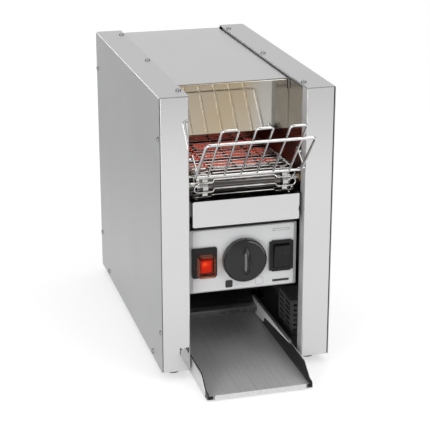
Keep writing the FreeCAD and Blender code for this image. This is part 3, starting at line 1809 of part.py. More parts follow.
nodes = {
    "left_side_cover": left_side_cover,
    "right_side_cover": right_side_cover,
    "left_front_post": left_front_post,
    "right_front_post": right_front_post,
    "left_inner_wall": left_inner_wall,
    "right_inner_wall": right_inner_wall,
    "top_panel": top_panel,
    "feed_plate": feed_plate,
    "rear_panel": rear_panel,
    "base_plate": base_plate,
    "rubber_feet": rubber_feet,
    "cover_screws": cover_screws,
    "front_guard": front_guard,
    "control_box": control_box,
    "control_rear_cover": control_rear_cover,
    "control_overlay": control_overlay,
    "power_switch_body": power_switch_body,
    "power_rocker": power_rocker,
    "power_switch_boot": power_switch_boot,
    "mode_switch_body": mode_switch_body,
    "mode_rocker": mode_rocker,
    "speed_knob": speed_knob,
    "dial_shaft": dial_shaft,
    "speed_regulator": speed_regulator,
    "dial_nut": dial_nut,
    "feed_rack": feed_rack,
    "rack_studs": rack_studs,
    "conveyor_belt": conveyor_belt,
    "belt_support": belt_support,
    "front_shaft": front_shaft,
    "front_roller": front_roller,
    "front_sprockets": front_sprockets,
    "rear_shaft": rear_shaft,
    "rear_roller": rear_roller,
    "rear_sprockets": rear_sprockets,
    "shaft_bushes": shaft_bushes,
    "shaft_chain_sprocket": shaft_chain_sprocket,
    "drive_chain": drive_chain,
    "motor_chain_sprocket": motor_chain_sprocket,
    "motor_shaft": motor_shaft,
    "gearbox": gearbox,
    "drive_motor": drive_motor,
    "motor_screws": motor_screws,
    "upper_elements": upper_elements,
    "lower_elements": lower_elements,
    "element_end_blocks": element_end_blocks,
    "upper_reflector": upper_reflector,
    "lower_reflector": lower_reflector,
    "return_chute": return_chute,
    "toast_guide": toast_guide,
    "toast_tray": toast_tray,
    "tray_side_guides": tray_side_guides,
    "tray_runners": tray_runners,
    "fan_guard_box": fan_guard_box,
    "fan_housing": fan_housing,
    "fan_rotor": fan_rotor,
    "terminal_block": terminal_block,
    "thermal_cutout": thermal_cutout,
    "cord_gland": cord_gland,
    "gland_nut": gland_nut,
}

os.makedirs("parts", exist_ok=True)
for name, make in nodes.items():
    made = make()
    solids = made if isinstance(made, list) else [made]
    shape = Part.makeCompound(solids) if len(solids) > 1 else solids[0]
    shape.exportStep("parts/" + name + ".step")
    size = shape.BoundBox
    print(name, len(shape.Solids), "solids", round(shape.Volume), "mm3", shape.isValid(),
          [round(v, 1) for v in (size.XMin, size.XMax, size.YMin, size.YMax, size.ZMin, size.ZMax)])
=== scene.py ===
# %% [markdown]
# # Dressing a counter-top conveyor toaster
#
# The toaster's solid parts come ready made from a CAD program: folded steel
# covers, a wire belt on toothed wheels, a control box, a feed rack and a tray.
# This lesson gives them the finishes of the real object, and models the pieces
# whose charm is in the detail: round belt wire, screw heads, the speed knob.

# %% Load the solid parts
import math

import bmesh
import bpy
from mathutils import Matrix, Vector


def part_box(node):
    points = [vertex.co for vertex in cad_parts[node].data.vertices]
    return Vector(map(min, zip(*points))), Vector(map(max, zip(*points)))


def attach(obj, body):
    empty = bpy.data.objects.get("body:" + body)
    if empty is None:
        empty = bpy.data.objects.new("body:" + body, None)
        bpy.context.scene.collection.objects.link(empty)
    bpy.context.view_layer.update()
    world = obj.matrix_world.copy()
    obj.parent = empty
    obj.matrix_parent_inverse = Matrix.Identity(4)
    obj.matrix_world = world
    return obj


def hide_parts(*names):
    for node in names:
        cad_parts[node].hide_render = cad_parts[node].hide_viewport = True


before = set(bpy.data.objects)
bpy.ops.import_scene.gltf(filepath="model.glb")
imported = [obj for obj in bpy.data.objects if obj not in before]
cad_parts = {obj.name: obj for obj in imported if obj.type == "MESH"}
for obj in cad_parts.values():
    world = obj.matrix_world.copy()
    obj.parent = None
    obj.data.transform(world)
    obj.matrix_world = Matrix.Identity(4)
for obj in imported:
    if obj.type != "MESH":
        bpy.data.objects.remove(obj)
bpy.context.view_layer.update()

# %% [markdown]
# ## Small tools for the work bench
#
# In a modelling session most clicks are the same few: select one object,
# select some faces by where they are, then run a tool. The helpers below do
# those clicks. `alone` selects one object, and `choose` selects faces, edges
# or points in edit mode by a test on their place or on the way they face.

# %% Selecting
MM = 0.001


def alone(piece):
    """Select one object and nothing else."""
    for other in bpy.context.selected_objects:
        other.select_set(False)
    piece.select_set(True)
    bpy.context.view_layer.objects.active = piece


def choose(piece, kind, test):
    """In edit mode, select the faces, edges or points that pass a test."""
    if piece.mode != "EDIT":
        bpy.ops.object.mode_set(mode="EDIT")
    bpy.ops.mesh.select_mode(type=kind)
    bpy.ops.mesh.select_all(action="DESELECT")
    shape = bmesh.from_edit_mesh(piece.data)
    groups = {"FACE": shape.faces, "EDGE": shape.edges, "VERT": shape.verts}
    for item in groups[kind]:
        if test(item):
            item.select_set(True)
    shape.select_flush_mode()
    bmesh.update_edit_mesh(piece.data)


def facing(way):
    """A test for faces that look a given way, within a few degrees."""
    return lambda face: face.normal.dot(Vector(way)) > 0.99


def finish_edit():
    """Leave edit mode."""
    bpy.ops.object.mode_set(mode="OBJECT")


print("bench ready")

# %% [markdown]
# A finished piece keeps its place in its points, so its object sits at the
# origin. `settle` does that, and it gives curved surfaces smooth shading while
# flat sheet keeps its crisp folds.

# %% Settling a piece
def settle(piece, name, angle=35):
    """Name the piece, move its place into its mesh and shade its curves."""
    alone(piece)
    bpy.ops.object.transform_apply(location=True, rotation=True, scale=True)
    bpy.ops.object.shade_smooth_by_angle(angle=math.radians(angle))
    piece.name = name
    piece.data.name = name
    return piece


def modify(piece, kind, **settings):
    """Add a modifier, set it and apply it at once."""
    alone(piece)
    modifier = piece.modifiers.new(kind.title(), kind)
    for key, value in settings.items():
        setattr(modifier, key, value)
    bpy.ops.object.modifier_apply(modifier=modifier.name)


def joined(pieces):
    """Make one object of several."""
    alone(pieces[0])
    for piece in pieces[1:]:
        piece.select_set(True)
    bpy.ops.object.join()
    return pieces[0]


def another(piece, place):
    """A copy with a mesh of its own, moved by a matrix."""
    copy = piece.copy()
    copy.data = piece.data.copy()
    bpy.context.scene.collection.objects.link(copy)
    copy.data.transform(place)
    return copy


print("settling ready")

# %% [markdown]
# ## Shader maths that reads like sums
#
# A material is a small graph of nodes. Wiring sums by hand hides what they
# mean, so the class below wraps a socket and lets Python's signs add the Math
# nodes: `1 - mask * 0.5` lays two of them.

# %% Signals
class Signal:
    """An output socket that can be used in sums."""

    def __init__(self, board, socket):
        self.board = board
        self.socket = socket

    def __add__(self, other):
        return self.board.math("ADD", self, other)

    def __sub__(self, other):
        return self.board.math("SUBTRACT", self, other)

    def __rsub__(self, other):
        return self.board.math("SUBTRACT", other, self)

    def __mul__(self, other):
        return self.board.math("MULTIPLY", self, other)


class Board:
    """A node tree, with one way to lay any node on it."""

    def __init__(self, tree):
        self.tree = tree

    def fill(self, node, values):
        """Set or link a node's inputs."""
        for key, value in values.items():
            socket = node.inputs[key]
            if isinstance(value, Signal):
                self.tree.links.new(value.socket, socket)
            elif socket.type == "RGBA" and len(value) == 3:
                socket.default_value = (*value, 1.0)
            else:
                socket.default_value = value

    def node(self, kind, settings, values, out=0):
        """Lay one node and give back one of its outputs."""
        node = self.tree.nodes.new(kind)
        for key, value in settings.items():
            if key == "stops":
                ramp = node.color_ramp
                for stop, (place, colour) in zip(list(ramp.elements), value):
                    stop.position = place
                    stop.color = (*colour, 1.0)
                for place, colour in value[2:]:
                    ramp.elements.new(place).color = (*colour, 1.0)
            else:
                setattr(node, key, value)
        self.fill(node, values)
        return Signal(self, node.outputs[out])

    def math(self, operation, first, second=0.0):
        """Lay a Math node."""
        return self.node("ShaderNodeMath", {"operation": operation}, {0: first, 1: second})

    def away_from(self, where, middle):
        """How far a place is from a point."""
        return self.node("ShaderNodeVectorMath", {"operation": "DISTANCE"},
                         {0: where, 1: middle}, "Value")

    def span(self, value, low, high, to_low=0.0, to_high=1.0):
        """Carry a value from one range to another, held at its ends."""
        values = {"Value": value, "From Min": low, "From Max": high, "To Min": to_low,
                  "To Max": to_high}
        return self.node("ShaderNodeMapRange", {"interpolation_type": "SMOOTHSTEP"}, values)


class Finish(Board):
    """A material for one finish, with the few patterns that finishes share."""

    def __init__(self, name, **fixed):
        self.material = bpy.data.materials.new(name)
        self.material.use_nodes = True
        super().__init__(self.material.node_tree)
        self.shader = self.tree.nodes["Principled BSDF"]
        self.fill(self.shader, {key.replace("_", " "): value for key, value in fixed.items()})

    def place(self):
        """Where a point lies on the object, in metres."""
        return self.node("ShaderNodeTexCoord", {}, {}, "Object")

    def axis(self, letter):
        """One coordinate of a point, X, Y or Z."""
        return self.node("ShaderNodeSeparateXYZ", {}, {0: self.place()}, letter)

    def noise(self, scale, stretch=(1, 1, 1), detail=2.0, rough=0.5):
        """Soft random patches, as many to a metre as the scale says."""
        where = self.node("ShaderNodeMapping", {}, {"Vector": self.place(), "Scale": stretch})
        values = {"Vector": where, "Scale": scale, "Detail": detail, "Roughness": rough}
        return self.node("ShaderNodeTexNoise", {}, values)

    def band(self, value, rise, fall):
        """0, then 1 once a value has passed the rise, then 0 again past the fall."""
        return self.span(value, *rise) * self.span(value, *fall, 1.0, 0.0)

    def mix(self, factor, first, second):
        """Blend two colours."""
        values = {0: factor, 6: first, 7: second}
        return self.node("ShaderNodeMix", {"data_type": "RGBA"}, values, 2)

    def bump(self, height, distance, strength):
        """A normal for small bumps of a given depth in metres."""
        values = {"Height": height, "Distance": distance, "Strength": strength}
        return self.node("ShaderNodeBump", {}, values)

    def give(self, **links):
        """Link the shader's inputs and hand the material over."""
        self.fill(self.shader, {key.replace("_", " "): value for key, value in links.items()})
        return self.material


print("shader tools ready")

# %% [markdown]
# ## Sheet steel
#
# Stainless sheet is nearly a mirror that somebody has rubbed in one direction.
# Its colour is even, so the life is in the roughness: fine lines along the
# rubbing, and broad soft patches from handling. The grain is noise squeezed
# thin across the lines and drawn out along them. The lines are a tenth of a
# millimetre wide, much too fine to be modelled, so they go in the roughness
# and in a very shallow bump. Three extras are off unless they are asked for:
# a warm tint, partly the straw that heat gives and partly a painted reflection
# of bread on the mirror plate, a lighter tone on the flange on top of a cover,
# which is painted light, and scuffs where something slides along the sheet.

# %% Brushed and polished steel
ALONG = {"x": (14, 1500, 1500), "y": (1500, 14, 1500), "z": (1500, 1500, 14)}
NOWHERE = 9.0
case_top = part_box("left_side_cover")[1].z


def scaled(tone, share):
    """A tone made lighter or darker."""
    return [c * share for c in tone]


def warm_tinted(tone):
    """The brown yellow of heated steel, made from a grey."""
    return (tone[0] * 0.96, tone[1] * 0.76, tone[2] * 0.48)


def steel(name, tone, rough, grain="y", depth=0.02 * MM, warm_tint=0.0, metal=1.0,
          tint_edge=NOWHERE, painted_top_light=None, scuff=0.0):
    """Rubbed sheet: its grey, how rough it is and the way its lines run."""
    finish = Finish(name, Metallic=metal)
    lines = finish.noise(1.0, ALONG[grain], detail=3.0)
    patches = finish.noise(9.0, detail=3.0)
    grey = finish.mix(finish.span(lines, 0.3, 0.7), scaled(tone, 0.98), scaled(tone, 1.02))
    # The flange on top of a cover is painted lighter than its side: painted light on the upward
    # face.
    if painted_top_light:
        flange = finish.span(finish.axis("Z"), case_top - 0.7 * MM, case_top - 0.3 * MM)
        grey = finish.mix(flange, grey, painted_top_light)
    # On the mirror plate this warm tint is partly the straw of heat and partly a painted
    # reflection of bread over the plate.
    if warm_tint:
        wipes = finish.noise(28.0, (1, 1, 0.4), detail=2.0)
        tint_share = finish.span(patches + wipes * 0.4, 0.35, 0.95, 0.4, warm_tint)
        tint_share = tint_share * finish.span(finish.axis("X"), tint_edge - 20 * MM, tint_edge + 20 * MM,
                                  1.0, 0.0)
        grey = finish.mix(tint_share, grey, warm_tinted(tone))
    roughness = lines * 0.05 + patches * 0.08 + (rough - 0.065)
    if scuff:
        streaks = finish.noise(1.0, (320, 7, 320), detail=4.0, rough=0.6)
        worn = finish.span(streaks, 0.45, 0.75, 0.0, scuff)
        grey = finish.mix(worn, grey, scaled(tone, 0.6))
        roughness = roughness + streaks * 0.12 - 0.06
    return finish.give(Base_Color=grey, Roughness=roughness,
                       Normal=finish.bump(lines, depth, 0.35))


# The cover sides get a darker grey than the top panel and the cover flanges: painted shade on
# the sides, painted light on the tops.
cover_finish = steel("brushed cover steel", (0.36, 0.361, 0.363), 0.32, "y",
                     painted_top_light=(0.425, 0.426, 0.427))
top_finish = steel("brushed top steel", (0.46, 0.46, 0.46), 0.30, "x")
guard_finish = steel("satin guard steel", (0.61, 0.61, 0.61), 0.26, "x", 0.01 * MM)
# The plate's warm tone and tint are partly heat straw and partly a painted reflection of bread.
plate_finish = steel("mirror plate steel", (0.43, 0.415, 0.385), 0.045, "x", 0.002 * MM,
                     warm_tint=0.8, tint_edge=30 * MM)
plain_finish = steel("plain sheet steel", (0.34, 0.34, 0.34), 0.42, "y", metal=0.8)
tray_finish = steel("tray sheet steel", (0.72, 0.72, 0.72), 0.42, "x", metal=0.4, scuff=0.35)
leaf_finish = steel("leaf sheet steel", (0.90, 0.90, 0.89), 0.5, "y", metal=0.0)
print("sheet finishes:", sum("steel" in m.name for m in bpy.data.materials))

# %% [markdown]
# The front posts are the brightest sheet of all. Only their faces are polished:
# the edge that is folded back into the passage keeps the dull mill skin, so
# the steel turns less metallic and rougher where it is that far in. The walls
# of the passage are polished as well, but the heat has burnt them brown from
# the plate down, and the strip of their upper edge over the top panel is
# painted near black, as painted shade in the gap there.

# %% Polished posts and walls
half_passage = -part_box("left_inner_wall")[1].x
plate_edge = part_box("feed_plate")[0].z
panel_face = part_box("top_panel")[1].z


def post_steel(name, tone):
    """Mirror sheet whose folded edge is dull."""
    finish = Finish(name)
    lines = finish.noise(1.0, ALONG["z"], detail=3.0)
    patches = finish.noise(9.0, detail=3.0)
    reach = finish.math("ABSOLUTE", finish.axis("X"))
    folded = finish.span(reach, half_passage + 0.2 * MM, half_passage + 0.9 * MM, 1.0, 0.0)
    grey = finish.mix(folded, tone, scaled(tone, 0.8))
    return finish.give(Base_Color=grey, Metallic=1 - folded * 0.9,
                       Roughness=lines * 0.03 + patches * 0.03 + 0.005 + folded * 0.4,
                       Normal=finish.bump(lines, 0.004 * MM, 0.35))


def wall_steel(name, tone, burnt, painted_gap_shade):
    """Wall sheet: tinted by heat near the plate, burnt below it, painted shade at its upper
    edge.
    """
    finish = Finish(name, Metallic=1.0)
    lines = finish.noise(1.0, ALONG["y"], detail=3.0)
    patches = finish.noise(9.0, detail=3.0)
    height = finish.axis("Z") + patches * (8 * MM)
    tint_share = finish.span(patches, 0.35, 0.85, 0.1, 0.6)
    warm_tint = finish.mix(tint_share, tone, warm_tinted(tone))
    low = finish.span(height, plate_edge - 8 * MM, plate_edge + 6 * MM, 1.0, 0.0)
    # The strip over the top panel is painted near black: painted shade of the gap there.
    top = finish.span(finish.axis("Z"), panel_face - 0.8 * MM, panel_face - 0.2 * MM)
    colour = finish.mix(top, finish.mix(low, warm_tint, burnt), painted_gap_shade)
    roughness = lines * 0.05 + patches * 0.08 + low * 0.25 + 0.09
    return finish.give(Base_Color=colour, Roughness=roughness,
                       Normal=finish.bump(lines, 0.006 * MM, 0.35))


wall_finish = wall_steel("polished wall steel", (0.36, 0.34, 0.31), (0.075, 0.06, 0.052),
                         (0.03, 0.03, 0.03))
post_finish = post_steel("polished post steel", (0.60, 0.60, 0.60))
print("posts are dull within", round(half_passage * 1000, 1), "mm of the middle")

# %% [markdown]
# ## The hot sheet
#
# The chute behind the belt and the reflectors live in the heat. Steel there
# goes from straw to brown, and dirt burns on it, so it is dark higher up and
# clean only at the lip that is rubbed bright in use. A gradient along the
# height drives both colour and roughness, and the bend of the lip gets a thin
# painted highlight line.

# %% Heat-darkened steel
chute_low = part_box("return_chute")[0]


def hot_sheet(name, clean, burnt, edge_z, rim=None):
    """Sheet that is clean under a height and burnt over it, with a painted highlight line
    between.
    """
    finish = Finish(name, Metallic=0.6)
    stains = finish.noise(22.0, detail=4.0, rough=0.6)
    height = finish.axis("Z") + stains * (6 * MM)
    share = finish.span(height, edge_z, edge_z + 12 * MM)
    colour = finish.mix(share, clean, burnt)
    # The rim colour is a painted highlight along the bend of the lip.
    if rim:
        line = finish.band(finish.axis("Z"), (edge_z - 1.6 * MM, edge_z - 0.9 * MM),
                           (edge_z + 0.3 * MM, edge_z + 1.2 * MM))
        colour = finish.mix(line, colour, rim)
    lines = finish.noise(1.0, ALONG["x"], detail=2.0)
    return finish.give(Base_Color=colour, Roughness=share * 0.22 + stains * 0.12 + 0.2,
                       Normal=finish.bump(lines, 0.02 * MM, 0.3))


chute_finish = hot_sheet("chute steel", (0.17, 0.17, 0.172), (0.06, 0.058, 0.056),
                         chute_low.z + 8.5 * MM, (0.62, 0.62, 0.62))
reflector_finish = hot_sheet("reflector steel", (0.08, 0.065, 0.055), (0.05, 0.04, 0.034),
                             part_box("lower_reflector")[0].z)
print("chute lip at", round(chute_low.z, 4))

# %% [markdown]
# ## Wire, bar and turned parts
#
# Small steel parts are told apart by their polish. The rack is nickel plated
# wire, bright and almost smooth. The belt is plain spring wire that has been
# through the heat many times, so it is a little brown between bright spots.
# Stains are a soft noise between two colours, and a fine bump breaks the
# highlights up, as drawn and ground metal does.

# %% Wire and shaft finishes
def bright(name, tone, rough, stain=(0.4, 0.36, 0.3), much=0.0):
    """Smooth metal with faint stains."""
    finish = Finish(name, Metallic=1.0)
    spots = finish.noise(70.0, detail=3.0)
    fine = finish.noise(420.0, detail=2.0)
    colour = finish.mix(finish.span(spots, 0.45, 0.8, 0.0, much), tone, stain)
    return finish.give(Base_Color=colour, Roughness=spots * 0.1 + (rough - 0.05),
                       Normal=finish.bump(fine, 0.03 * MM, 0.25))


rack_finish = bright("plated rack wire", (0.63, 0.63, 0.625), 0.12, much=0.15)
belt_finish = bright("belt wire", (0.58, 0.565, 0.55), 0.16, (0.26, 0.21, 0.17), 0.7)
shaft_finish = bright("ground shaft", (0.66, 0.66, 0.65), 0.22, much=0.2)
# The polished roller's near-black grey is painted shade: it stands for the dark inside of the
# toaster that the roller reflects.
dark_painted_roller_finish = bright("polished roller", (0.13, 0.122, 0.118), 0.08, (0.09, 0.07, 0.06), 0.6)
wheel_finish = bright("machined wheel", (0.50, 0.50, 0.49), 0.22, much=0.3)
chain_finish = bright("oiled chain", (0.30, 0.29, 0.27), 0.34, (0.09, 0.07, 0.05), 0.8)
screw_finish = bright("screw heads", (0.27, 0.27, 0.27), 0.2, much=0.2)
bronze_finish = bright("bush bronze", (0.33, 0.22, 0.11), 0.3, (0.13, 0.09, 0.05), 0.6)
disc_finish = bright("cutout disc", (0.62, 0.62, 0.6), 0.3, much=0.2)
print("wire and turned finishes ready")

# %% [markdown]
# ## Plastic, rubber and paint
#
# Moulded black plastic has a fine pebbled skin, and the parts that fingers
# touch are a little shinier than the rest. Rubber is duller and picks up dust.
# The painted sheet round the fan has the slight orange peel of sprayed paint.

# %% Dark finishes
def moulded(name, tone, rough, pebble=0.04 * MM, scale=1400.0, shine=0.5):
    """Moulded plastic or rubber with a pebbled skin."""
    finish = Finish(name, Specular_IOR_Level=shine)
    skin = finish.noise(scale, detail=1.0)
    wear = finish.noise(35.0, detail=3.0)
    dusty = finish.span(wear, 0.5, 0.8, 0.0, 0.35)
    dust = finish.mix(dusty, tone, [c * 1.5 + 0.01 for c in tone])
    return finish.give(Base_Color=dust, Roughness=wear * 0.16 + (rough - 0.08),
                       Normal=finish.bump(skin, pebble, 0.5))


switch_finish = moulded("switch plastic", (0.012, 0.012, 0.013), 0.26, 0.02 * MM, shine=0.2)
body_finish = moulded("body plastic", (0.03, 0.03, 0.032), 0.5)
rubber_finish = moulded("foot rubber", (0.022, 0.022, 0.022), 0.7, 0.08 * MM, 900.0)
guide_finish = moulded("guide paint", (0.006, 0.006, 0.006), 0.22, 0.04 * MM, 500.0, shine=0.25)
fan_box_finish = moulded("fan box paint", (0.085, 0.085, 0.088), 0.42, 0.06 * MM, 500.0)
core_finish = moulded("motor varnish", (0.06, 0.065, 0.075), 0.45, 0.15 * MM, 800.0)
ceramic_finish = moulded("ceramic", (0.80, 0.78, 0.74), 0.75, 0.1 * MM, 700.0)
terminal_finish = moulded("terminal plastic", (0.72, 0.70, 0.62), 0.5)
print("dark finishes ready")

# %% [markdown]
# The dial's grip is a thin fin. Its left face is painted paler than the body,
# a painted highlight, and so is the rim at the upper right, a painted highlight
# where its rounded edge would catch the light. A mask on the fin's own place,
# narrow across and faded towards its ends, lifts the colour there, and a thin
# ring does the same at the rim. Both are laid in the dial's own coordinates,
# so they turn with it.

# %% Knob plastic with painted highlights on the grip
dial_low, dial_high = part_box("speed_knob")
dial_z = (dial_low.z + dial_high.z) / 2


def knob_plastic(name, tone, painted_highlight):
    """Black plastic, with painted highlights on the fin's left face and at the upper right of
    the rim.
    """
    finish = Finish(name, Specular_IOR_Level=0.32)
    skin = finish.noise(1400.0, detail=1.0)
    wear = finish.noise(35.0, detail=3.0)
    side, rise = finish.axis("X"), finish.axis("Z") - dial_z
    # The fin's left face is painted paler: a painted highlight.
    across = finish.band(side, (-3.4 * MM, -2.8 * MM), (-1.6 * MM, -0.9 * MM))
    along = finish.band(rise, (-15 * MM, -8 * MM), (11 * MM, 16 * MM))
    front = finish.span(finish.axis("Y"), dial_low.y + 6 * MM, dial_low.y + 9 * MM, 1.0, 0.0)
    colour = finish.mix(across * along * front, tone, painted_highlight)
    flat = finish.node("ShaderNodeVectorMath", {"operation": "MULTIPLY"},
                       {0: finish.place(), 1: (1.0, 0.0, 1.0)})
    # A thin ring at the upper right of the rim is painted paler too: a painted highlight.
    ring = finish.band(finish.away_from(flat, (0.0, 0.0, dial_z)),
                       (27.4 * MM, 27.8 * MM), (28.6 * MM, 29.0 * MM))
    corner = finish.span(side * 0.64 + rise * 0.77, 22.5 * MM, 26.5 * MM)
    colour = finish.mix(ring * corner * 0.8, colour, painted_highlight)
    return finish.give(Base_Color=colour, Roughness=wear * 0.14 + 0.16,
                       Normal=finish.bump(skin, 0.02 * MM, 0.5))


knob_finish = knob_plastic("knob plastic", (0.017, 0.017, 0.0175), (0.22, 0.22, 0.22))
print("dial's middle at z", round(dial_z, 4))

# %% [markdown]
# Cast metal is the same idea with another scale: sand leaves bumps of about a
# millimetre, so the noise is coarser and the bump deeper.

# %% Cast aluminium
def cast(name, tone):
    """Metal with the grainy skin of a sand mould."""
    finish = Finish(name, Metallic=1.0)
    sand = finish.noise(900.0, detail=4.0, rough=0.65)
    return finish.give(Base_Color=finish.mix(sand, scaled(tone, 0.85), tone),
                       Roughness=sand * 0.2 + 0.38, Normal=finish.bump(sand, 0.2 * MM, 0.5))


cast_finish = cast("cast aluminium", (0.58, 0.59, 0.6))
print("cast finish ready")

# %% [markdown]
# ## Things that glow
#
# The heating elements are quartz tubes round a coil of glowing ribbon. Through
# the milky quartz the coil shows as bright bands with darker gaps, brightest
# in the middle of the toaster. The glow of the tube at the back is turned down
# as painted shade, and those under the belt, which do most of the heating on
# this setting, glow more than those over it.

# %% Glowing elements
TURN = 4.5 * MM
HOT_END = 58 * MM
SHADED_BACK_TUBE = 42 * MM


def quartz(name, level):
    """A milky tube round a coil that glows at a level."""
    finish = Finish(name, Emission_Strength=level, Roughness=0.18)
    across = finish.axis("X")
    coil = finish.span(finish.math("SINE", across * (math.tau / TURN)), -0.7, 0.8)
    middle = finish.span(finish.math("ABSOLUTE", across), HOT_END, HOT_END + 18 * MM,
                         1.0, 0.0)
    # The back tube's glow is turned down here: painted shade.
    middle = middle * finish.span(finish.axis("Y"), SHADED_BACK_TUBE - 10 * MM, SHADED_BACK_TUBE + 10 * MM,
                                  1.0, 0.2)
    hot = finish.mix(coil, (0.62, 0.035, 0.02), (1.0, 0.24, 0.15))
    return finish.give(Base_Color=finish.mix(middle, (0.6, 0.55, 0.52), (0.5, 0.12, 0.08)),
                       Emission_Color=finish.mix(middle, (0.0, 0.0, 0.0), hot))


lower_tube_finish = quartz("glowing quartz", 0.55)
upper_tube_finish = quartz("dim quartz", 0.07)
print("coil turns in the hot middle of a tube:", round(2 * HOT_END / TURN))

# %% [markdown]
# The lens of the power switch is red plastic over a small lamp, so it has one
# hot spot, up and to the left, and fades towards its edges. A ramp on the
# distance from that spot gives the colours, and a soft box darkens the rim,
# where the plastic is thick.

# %% Lit lens
light_low, light_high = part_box("power_rocker")
light_middle = (light_low + light_high) / 2
lamp_spot = (light_low.x * 0.62 + light_high.x * 0.38, light_low.y,
             light_low.z * 0.35 + light_high.z * 0.65)


def from_middle(finish, middle, half_wide, half_high, soft):
    """0 inside a box round a middle, rising to 1 outside it."""
    beside = finish.math("ABSOLUTE", finish.axis("X") - middle.x)
    over = finish.math("ABSOLUTE", finish.axis("Z") - middle.z)
    out = finish.span(beside, half_wide, half_wide + soft) + finish.span(
        over, half_high, half_high + soft)
    return finish.math("MINIMUM", out, 1.0)


def lens(name):
    """Red plastic, lit from a spot behind it."""
    finish = Finish(name, Emission_Strength=0.6, Roughness=0.3, Specular_IOR_Level=0.15)
    near = finish.span(finish.away_from(finish.place(), lamp_spot), 0.4 * MM, 8.5 * MM, 1.0, 0.0)
    glow = finish.node("ShaderNodeValToRGB",
                       {"stops": [(0.0, (0.62, 0.022, 0.001)), (1.0, (1.0, 0.5, 0.16)),
                                  (0.55, (0.95, 0.035, 0.002)), (0.85, (1.0, 0.11, 0.01))]},
                       {"Fac": near})
    shade = from_middle(finish, light_middle, 6.2 * MM, 8.0 * MM, 1.6 * MM)
    return finish.give(Base_Color=(0.16, 0.002, 0.001),
                       Emission_Color=finish.mix(shade, glow, (0.10, 0.003, 0.001)))


lens_finish = lens("lit red lens")
print("lamp behind the lens at", [round(c, 4) for c in lamp_spot])

# %% [markdown]
# The boot over that switch is clear soft plastic. It is thin, so it hardly
# bends the light, and its rim has a painted red glow that stands for the lens's
# light gathered in it. The panel behind the controls is a satin silver film.

# %% Clear boot and the panel
def clear_boot(name):
    """Clear plastic with a painted red glow at its rim."""
    finish = Finish(name, Transmission_Weight=1.0, IOR=1.12, Roughness=0.02,
                    Emission_Strength=0.5)
    film = finish.noise(60.0, detail=2.0)
    boot_low, boot_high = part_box("power_switch_boot")
    half = (boot_high - boot_low) / 2
    # The rim's red emission is a painted glow, standing for the lens's light.
    rim = from_middle(finish, (boot_low + boot_high) / 2, half.x - 1.4 * MM, half.z - 1.4 * MM,
                      0.6 * MM)
    return finish.give(Base_Color=finish.mix(film, (1.0, 0.66, 0.50), (1.0, 0.76, 0.64)),
                       Emission_Color=finish.mix(rim, (0.0, 0.0, 0.0), (0.17, 0.07, 0.05)))


boot_finish = clear_boot("clear boot")


def panel(name, tone):
    """Satin silver film, printed and stuck on the control box."""
    finish = Finish(name, Metallic=0.3)
    grain = finish.noise(2200.0, detail=1.0)
    clouds = finish.noise(14.0, detail=2.0)
    return finish.give(Base_Color=finish.mix(clouds, scaled(tone, 0.97), tone),
                       Roughness=clouds * 0.06 + 0.42, Normal=finish.bump(grain, 0.01 * MM, 0.4))


panel_finish = panel("satin panel film", (0.66, 0.665, 0.67))
ink_finish = moulded("black ink", (0.012, 0.012, 0.012), 0.5, 0.01 * MM)
grey_ink_finish = moulded("grey ink", (0.12, 0.12, 0.12), 0.5, 0.01 * MM)
pale_ink_finish = moulded("pale ink", (0.30, 0.30, 0.30), 0.5, 0.01 * MM)
print("panel finishes ready")

# %% [markdown]
# ## Handing out the finishes
#
# Each CAD part is named, so a plain table says which finish it wears. The
# table follows how such a toaster is made: covers from one coil of brushed
# sheet, posts and walls from polished sheet, dark sheet where nobody looks.

# %% Dress the CAD parts
wear = {
    cover_finish: ["left_side_cover", "right_side_cover", "rear_panel"],
    top_finish: ["top_panel"],
    post_finish: ["left_front_post", "right_front_post"],
    guard_finish: ["front_guard"],
    wall_finish: ["left_inner_wall", "right_inner_wall"],
    plate_finish: ["feed_plate"],
    plain_finish: ["base_plate", "control_box", "control_rear_cover", "tray_runners"],
    tray_finish: ["toast_tray"],
    leaf_finish: ["toast_guide"],
    chute_finish: ["return_chute"],
    reflector_finish: ["upper_reflector", "lower_reflector"],
    rack_finish: ["feed_rack", "belt_support", "rack_studs"],
    belt_finish: ["conveyor_belt"],
    shaft_finish: ["front_shaft", "rear_shaft", "motor_shaft", "dial_shaft", "dial_nut"],
    dark_painted_roller_finish: ["front_roller", "rear_roller"],
    wheel_finish: ["front_sprockets", "rear_sprockets", "shaft_chain_sprocket",
                   "motor_chain_sprocket"],
    chain_finish: ["drive_chain"],
    screw_finish: ["cover_screws", "motor_screws"],
    bronze_finish: ["shaft_bushes"],
    disc_finish: ["thermal_cutout"],
    cast_finish: ["gearbox"],
    knob_finish: ["speed_knob"],
    switch_finish: ["power_switch_body", "mode_switch_body", "mode_rocker"],
    body_finish: ["speed_regulator", "fan_housing", "fan_rotor", "cord_gland", "gland_nut"],
    rubber_finish: ["rubber_feet"],
    guide_finish: ["tray_side_guides"],
    fan_box_finish: ["fan_guard_box"],
    core_finish: ["drive_motor"],
    ceramic_finish: ["element_end_blocks"],
    terminal_finish: ["terminal_block"],
    lower_tube_finish: ["lower_elements"],
    upper_tube_finish: ["upper_elements"],
    lens_finish: ["power_rocker"],
    boot_finish: ["power_switch_boot"],
    panel_finish: ["control_overlay"],
}
dressed = set()
for finish, names in wear.items():
    for name in names:
        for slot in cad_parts[name].material_slots:
            slot.material = finish
        dressed.add(name)
print(len(dressed), "parts dressed, left over:", sorted(set(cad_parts) - dressed))

# %% [markdown]
# ## The wire belt
#
# The belt is the cleverest piece of the toaster. Each strand is one wire: a
# long straight middle that carries the load, a little step sideways near each
# end, and a hook that grips the next strand, so the whole belt can bend round
# a wheel. A chain of points is drawn along one wire, its corners are rounded,
# and the line is given a thickness. All strands are alike, so one is modelled
# and the others are copies, each laid on its own step of the loop.

